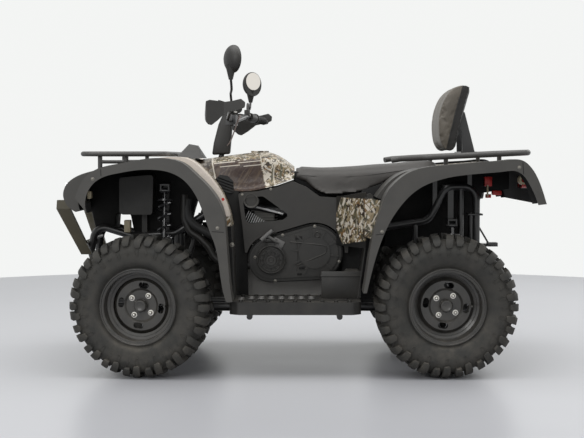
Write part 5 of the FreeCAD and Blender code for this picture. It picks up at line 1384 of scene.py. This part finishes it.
rings = [ring_of(radius, thick, STARTER_MIDDLE + Vector((0, y, 0)), OUT_LEFT, 56)
         for radius, thick, y in STARTER_RINGS]
done(joined(rings), "starter_rings", "chassis", DEEP_BLACK, "black_plastic")
grip_middle = (GRIP_ENDS[0] + GRIP_ENDS[1]) / 2
stalk = [grip_middle, (-0.1000, -0.272, 0.5790), (-0.0790, -0.250, 0.5640)]
foot = box_at((-0.0800, COVER_FACE, 0.5640), (0.052, 0.010, 0.036))
foot.rotation_euler = (0, math.radians(28), 0)
handle = [tube_along([GRIP_ENDS[0], grip_middle, GRIP_ENDS[1]], 0.0095, smooth=False),
          tube_along(stalk, 0.0070, smooth=False), foot]
done(joined(handle), "starter_handle", "chassis", LEVER_AND_PEG_HIGHLIGHT_GREY, "grey_plastic", bevel=0.002)
print("starter dressed:", made[-2:])

# %% [markdown]
# Through the window in the left cover one sees a bright strut and the edge of a finned cooler.
# A round cap with a raised rim closes the upper front of the window. The right side has the
# same. The fins are narrow slanted plates in a row that gets shorter towards the rear. Both sit
# in the window's shade: the strut's near-white colour is a painted glint, and the fins are pale
# alloy made paler still as painted light.

# %% Side window
# Near-white: a painted glint on the strut.
STRUT_PAINTED_GLINT = finish("strut_painted_glint", (0.93, 0.91, 0.87), 0.5, grain=(700.0, 0.1), dust=0.1)
# Pale alloy, made paler as painted light in the window's shade.
FIN_PAINTED_LIGHT = finish("fin_painted_light", (0.90, 0.87, 0.82), 0.5, grain=(380.0, 0.3), dust=0.2)
FIN_LEAN = Vector((0.42, 0, 0.9)).normalized()
HALF_FIN = Vector((0.002, 0, 0))
CAP_SPOT = (-0.2030, 0.755)

strut = tube_along([(-0.182, -0.125, 0.722), (-0.060, -0.125, 0.690)], 0.0045, smooth=False)
done(mirrored_pair(strut), "window_struts", "chassis", STRUT_PAINTED_GLINT, "cast_alloy")
fins = []
for i in range(11):
    fin_middle = Vector((-0.232 + 0.0095 * i, -0.130, 0.672 - 0.0036 * i))
    reach = FIN_LEAN * (0.036 - 0.0021 * i)
    fins.append(plate([fin_middle - reach - HALF_FIN, fin_middle - reach + HALF_FIN,
                       fin_middle + reach + HALF_FIN, fin_middle + reach - HALF_FIN], (0, 0.012, 0)))
done(mirrored_pair(joined(fins)), "cooler_fins", "chassis", FIN_PAINTED_LIGHT, "cast_alloy")
cap = turn([(0.012, 0.0003), (0.012, 0.024), (0.004, 0.026), (0.0, 0.030), (0.0, 0.0325),
            (0.030, 0.0325), (0.030, 0.0003)], 40)
cap_face = laid_on(tree_of("air_duct", "side_panel_left"), [(CAP_SPOT[0], 0, CAP_SPOT[1])])[0]
print("cap stands on", cap_face)
cap.matrix_world = frame_at((CAP_SPOT[0], cap_face.y - 0.006, CAP_SPOT[1]), LEFT_TO_RIGHT)
done(mirrored_pair(settled(cap)), "window_caps", "chassis", PANEL_GREY, "grey_plastic", angle=30)

# %% [markdown]
# The steering stem is wrapped in a moulded cover that turns with the bars. Two thin cables run
# up beside it from under the cover to the controls. All of it rides on the steering.

# %% Stem cover and cables
CABLE_GREY = finish("cable_grey", (0.16, 0.125, 0.115), 0.4, grain=(300.0, 0.1))
STEM_COVER = ((-0.394, 0.962), (-0.386, 1.018), (-0.364, 1.103), (-0.330, 1.180), (-0.296, 1.180),
              (-0.300, 1.080), (-0.310, 0.966))
CABLES = (
    ((-0.332, -0.020, 1.000), (-0.318, -0.034, 1.004), (-0.297, -0.038, 1.040), (-0.276, -0.052, 1.110),
     (-0.262, -0.070, 1.146)),
    ((-0.332, 0.020, 1.000), (-0.319, 0.034, 1.004), (-0.300, 0.040, 1.050), (-0.278, 0.060, 1.120),
     (-0.264, 0.080, 1.150)),
)

done(side_sheet(STEM_COVER, -0.031, 0.062), "stem_cover", "steering", DEEP_BLACK, "black_plastic",
     bevel=0.010, segments=3)
cables = [tube_along(run, 0.003) for run in CABLES]
done(joined(cables), "stem_cables", "steering", CABLE_GREY, "black_plastic")
print("stem dressed:", made[-2:])

# %% [markdown]
# The mirrors have flat glass facing the rider, and the grips carry fine rings that keep the
# hand from slipping. Both are placed for straight bars and then turned about the steering
# column by the few degrees that the bars stand off straight here.

# %% Mirrors and grips
BARS_TURNED = math.radians(-6.0)
GLASS_SIZE = (0.0435, 0.0465, 0.0022)
GLASS_OFF_ARM = (0.0068, 0, 0.0140)
MIRRORS = ((-1, -0.232, 1.366), (1, -0.262, 1.330))
RINGS_PER_GRIP = 14
RING_SPACING = 0.0078

column = joints["steering"]
column_at = Vector(column["pos_m"])
column_turn = Matrix.Rotation(BARS_TURNED, 4, Vector(column["axis"]).normalized())
turned = Matrix.Translation(column_at) @ column_turn @ Matrix.Translation(-column_at)
glasses = []
for side, x, z in MIRRORS:
    let_go()
    bpy.ops.mesh.primitive_cylinder_add(vertices=48, radius=1, depth=1)
    glass = bpy.context.object
    glass.scale = GLASS_SIZE
    settled(glass)
    glass.matrix_world = (turned @ Matrix.Translation((x, side * 0.408, z))
                          @ Matrix.Rotation(math.radians(-side * 42), 4, "Z")
                          @ Matrix.Translation(GLASS_OFF_ARM) @ Matrix.Rotation(math.pi / 2, 4, "Y"))
    glasses.append(settled(glass))
done(joined(glasses), "mirror_glass", "steering", MIRROR_GLASS, "black_plastic")

grips = []
for side in (-1, 1):
    inner, outer = Vector((-0.268, side * 0.236, 1.158)), Vector((-0.206, side * 0.438, 1.146))
    way = (outer - inner).normalized()
    for i in range(RINGS_PER_GRIP):
        at = turned @ (outer - way * (0.004 + RING_SPACING * i))
        grips.append(ring_of(0.0172, 0.0016, at, turned.to_3x3() @ way, 24))
done(joined(grips), "grip_rings", "steering", SOFT_RUBBER, "black_plastic")
side_heads("hand_guard_bolts", ["hand_guards", "controls", "handlebar"],
           [(-0.2606, 1.150), (-0.2300, 1.157)], 0.007, 0.005, BARE_ZINC, "steering")
print("bars dressed:", made[-3:])

# %% [markdown]
# Footboards carry two rows of pegs that keep a boot from sliding, rubbed to a plain grey that
# also stands for the highlight on their tops, as a painted highlight. Rays sent down find the
# board under each peg. The passenger's step is a box with a lid, and a small wing closes the leg
# panel towards the rear flare.

# %% Footboards and step
PEG_ROWS = (0.375, 0.430)
STEP_FACE = -0.4195
LID_FACE = -0.424

board = tree_of("footwell_left", "footwell_right")
pegs = []
peg_model = bolt_head(0.0150, 0.0045)
for x in np.arange(-0.240, 0.110, 0.044):
    for y in PEG_ROWS:
        for side in (-1, 1):
            hit, _, _, _ = board.ray_cast(Vector((x, side * y, 0.60)), Vector((0, 0, -1)))
            if hit is not None and hit.z < 0.40:
                pegs.append(placed_copy(peg_model, frame_at(hit, (0, 0, 1))))
removed(peg_model)
done(joined(pegs), "footboard_pegs", "chassis", LEVER_AND_PEG_HIGHLIGHT_GREY, "cast_alloy")
step = side_sheet([(0.112, 0.334), (0.285, 0.334), (0.285, 0.452), (0.112, 0.452)], STEP_FACE, 0.004)
lid = side_sheet([(0.108, 0.428), (0.289, 0.428), (0.289, 0.436), (0.108, 0.436)], LID_FACE, 0.010)
done(mirrored_pair(joined([step, lid])), "passenger_step_fronts", "chassis", DEEP_BLACK,
     "black_plastic", bevel=0.0015)
wing = side_sheet([(0.298, 0.780), (0.366, 0.764), (0.343, 0.641), (0.323, 0.600), (0.298, 0.606)],
                  -0.4785, 0.004)
done(mirrored_pair(wing), "leg_panel_wings", "chassis", LEG_FILM, "camouflage")
print("pegs:", len(pegs))

# %% [markdown]
# Under the tail hang a few coloured things one sees against the black: the red ends of the rear
# springs' reservoirs, a reflector, the backs of the tail lamps, and a thin prop below.

# %% Tail details
RED_PLASTIC = finish("red_plastic", (0.50, 0.020, 0.016), 0.4, grain=(300.0, 0.1))
BEIGE = finish("beige_plastic", (0.42, 0.36, 0.24), 0.5, grain=(400.0, 0.2))


def block(low, high):
    return box_at((Vector(low) + Vector(high)) / 2, Vector(high) - Vector(low))


reds = [block((0.868, -0.120, 0.818), (0.902, -0.070, 0.862)),
        block((0.905, -0.120, 0.777), (0.946, -0.080, 0.798)),
        block((0.875, -0.118, 0.764), (0.899, -0.090, 0.781))]
done(joined(reds), "tail_reds", "chassis", RED_PLASTIC, "red_lens", bevel=0.003)
bulb = tube_along([(0.880, -0.128, 0.770), (0.880, -0.128, 0.824)], 0.004, smooth=False)
lamp_back = turn([(0.0, 0.0003), (0.0, 0.010), (-0.012, 0.012), (-0.012, 0.020), (-0.006, 0.0235),
                  (0.026, 0.0235), (0.026, 0.0003)], 32)
lamp_back.matrix_world = frame_at((0.999, -0.385, 0.852), LEFT_TO_RIGHT)
done(mirrored_pair(joined([bulb, lamp_back])), "lamp_backs", "chassis", BEIGE, "grey_plastic", angle=30)
prop = [tube_along([(0.825, -0.100, 0.664), (0.889, -0.100, 0.556)], 0.0042, smooth=False),
        block((0.792, -0.140, 0.684), (0.858, -0.060, 0.692)),
        block((0.884, -0.125, 0.540), (0.930, -0.075, 0.558))]
done(joined(prop), "tail_prop", "chassis", FRAME_BLACK, "black_steel", bevel=0.001)
print("tail dressed:", made[-3:])

# %% [markdown]
# Across the mudguards runs the joint between two mouldings, a fine dark line at each end of
# the flares. Each is a thin dark tube laid on the flare along a short line in the side view. A
# small round red mark sits on the edge of the front body.

# %% Joint lines and a red mark
JOINTS_IN_FLARES = (((-0.382, 0.637), (-0.306, 0.632)), ((0.341, 0.622), (0.392, 0.626)),
                    ((-0.828, 0.900), (-0.826, 0.842)), ((0.962, 0.930), (0.966, 0.868)))

mark_at, mark_out, _, _ = tree_of("front_body").ray_cast(Vector((-0.318, -1.5, 0.768)), Vector((0, 1, 0)))
mark = turn([(-0.001, 0.0003), (-0.001, 0.0065), (0.0012, 0.0065), (0.0012, 0.0003)], 20)
mark.matrix_world = frame_at(mark_at, mark_out)
done(mark, "edge_mark", "chassis", RED_PLASTIC, "red_lens")

flare_tree = tree_of("front_flares", "rear_flares")
lines = []
for (xa, za), (xb, zb) in JOINTS_IN_FLARES:
    run = [(xa + (xb - xa) * t, 0, za + (zb - za) * t) for t in np.linspace(0, 1, 7)]
    hits = [p for p in laid_on(flare_tree, run) if p.y < -0.35]
    if len(hits) > 3:
        lines.append(tube_along(hits, 0.0013))
done(mirrored_pair(joined(lines)), "flare_joints", "chassis", INNER_BLACK_AND_SHADE, "black_plastic")
print("joint lines:", len(lines))

# %% [markdown]
# In the front arch a thick soft hose leads air down from the nose, and two beige sockets of the
# wiring show against the dark sheet of painted shade. The hose is one smooth tube, the sockets rounded
# blocks.

# %% Intake hose and sockets
HOSE = ((-0.500, -0.150, 0.760), (-0.505, -0.160, 0.690), (-0.480, -0.165, 0.640),
        (-0.420, -0.165, 0.615), (-0.375, -0.165, 0.590))
SOCKETS = (((-0.792, -0.140, 0.606), (-0.762, -0.100, 0.662)),
           ((-0.934, -0.300, 0.765), (-0.915, -0.260, 0.800)))

done(tube_along(HOSE, 0.020), "intake_hose", "chassis", SOFT_RUBBER, "black_plastic")
sockets = [block(*corners) for corners in SOCKETS]
done(joined(sockets), "beige_sockets", "chassis", BEIGE, "grey_plastic", bevel=0.004)
print("front arch dressed:", made[-2:])

# %% [markdown]
# Last, the number of pieces made here is printed. Each was handed over to its body when it was done.

# %% Pieces made
print("pieces made here:", len(made))
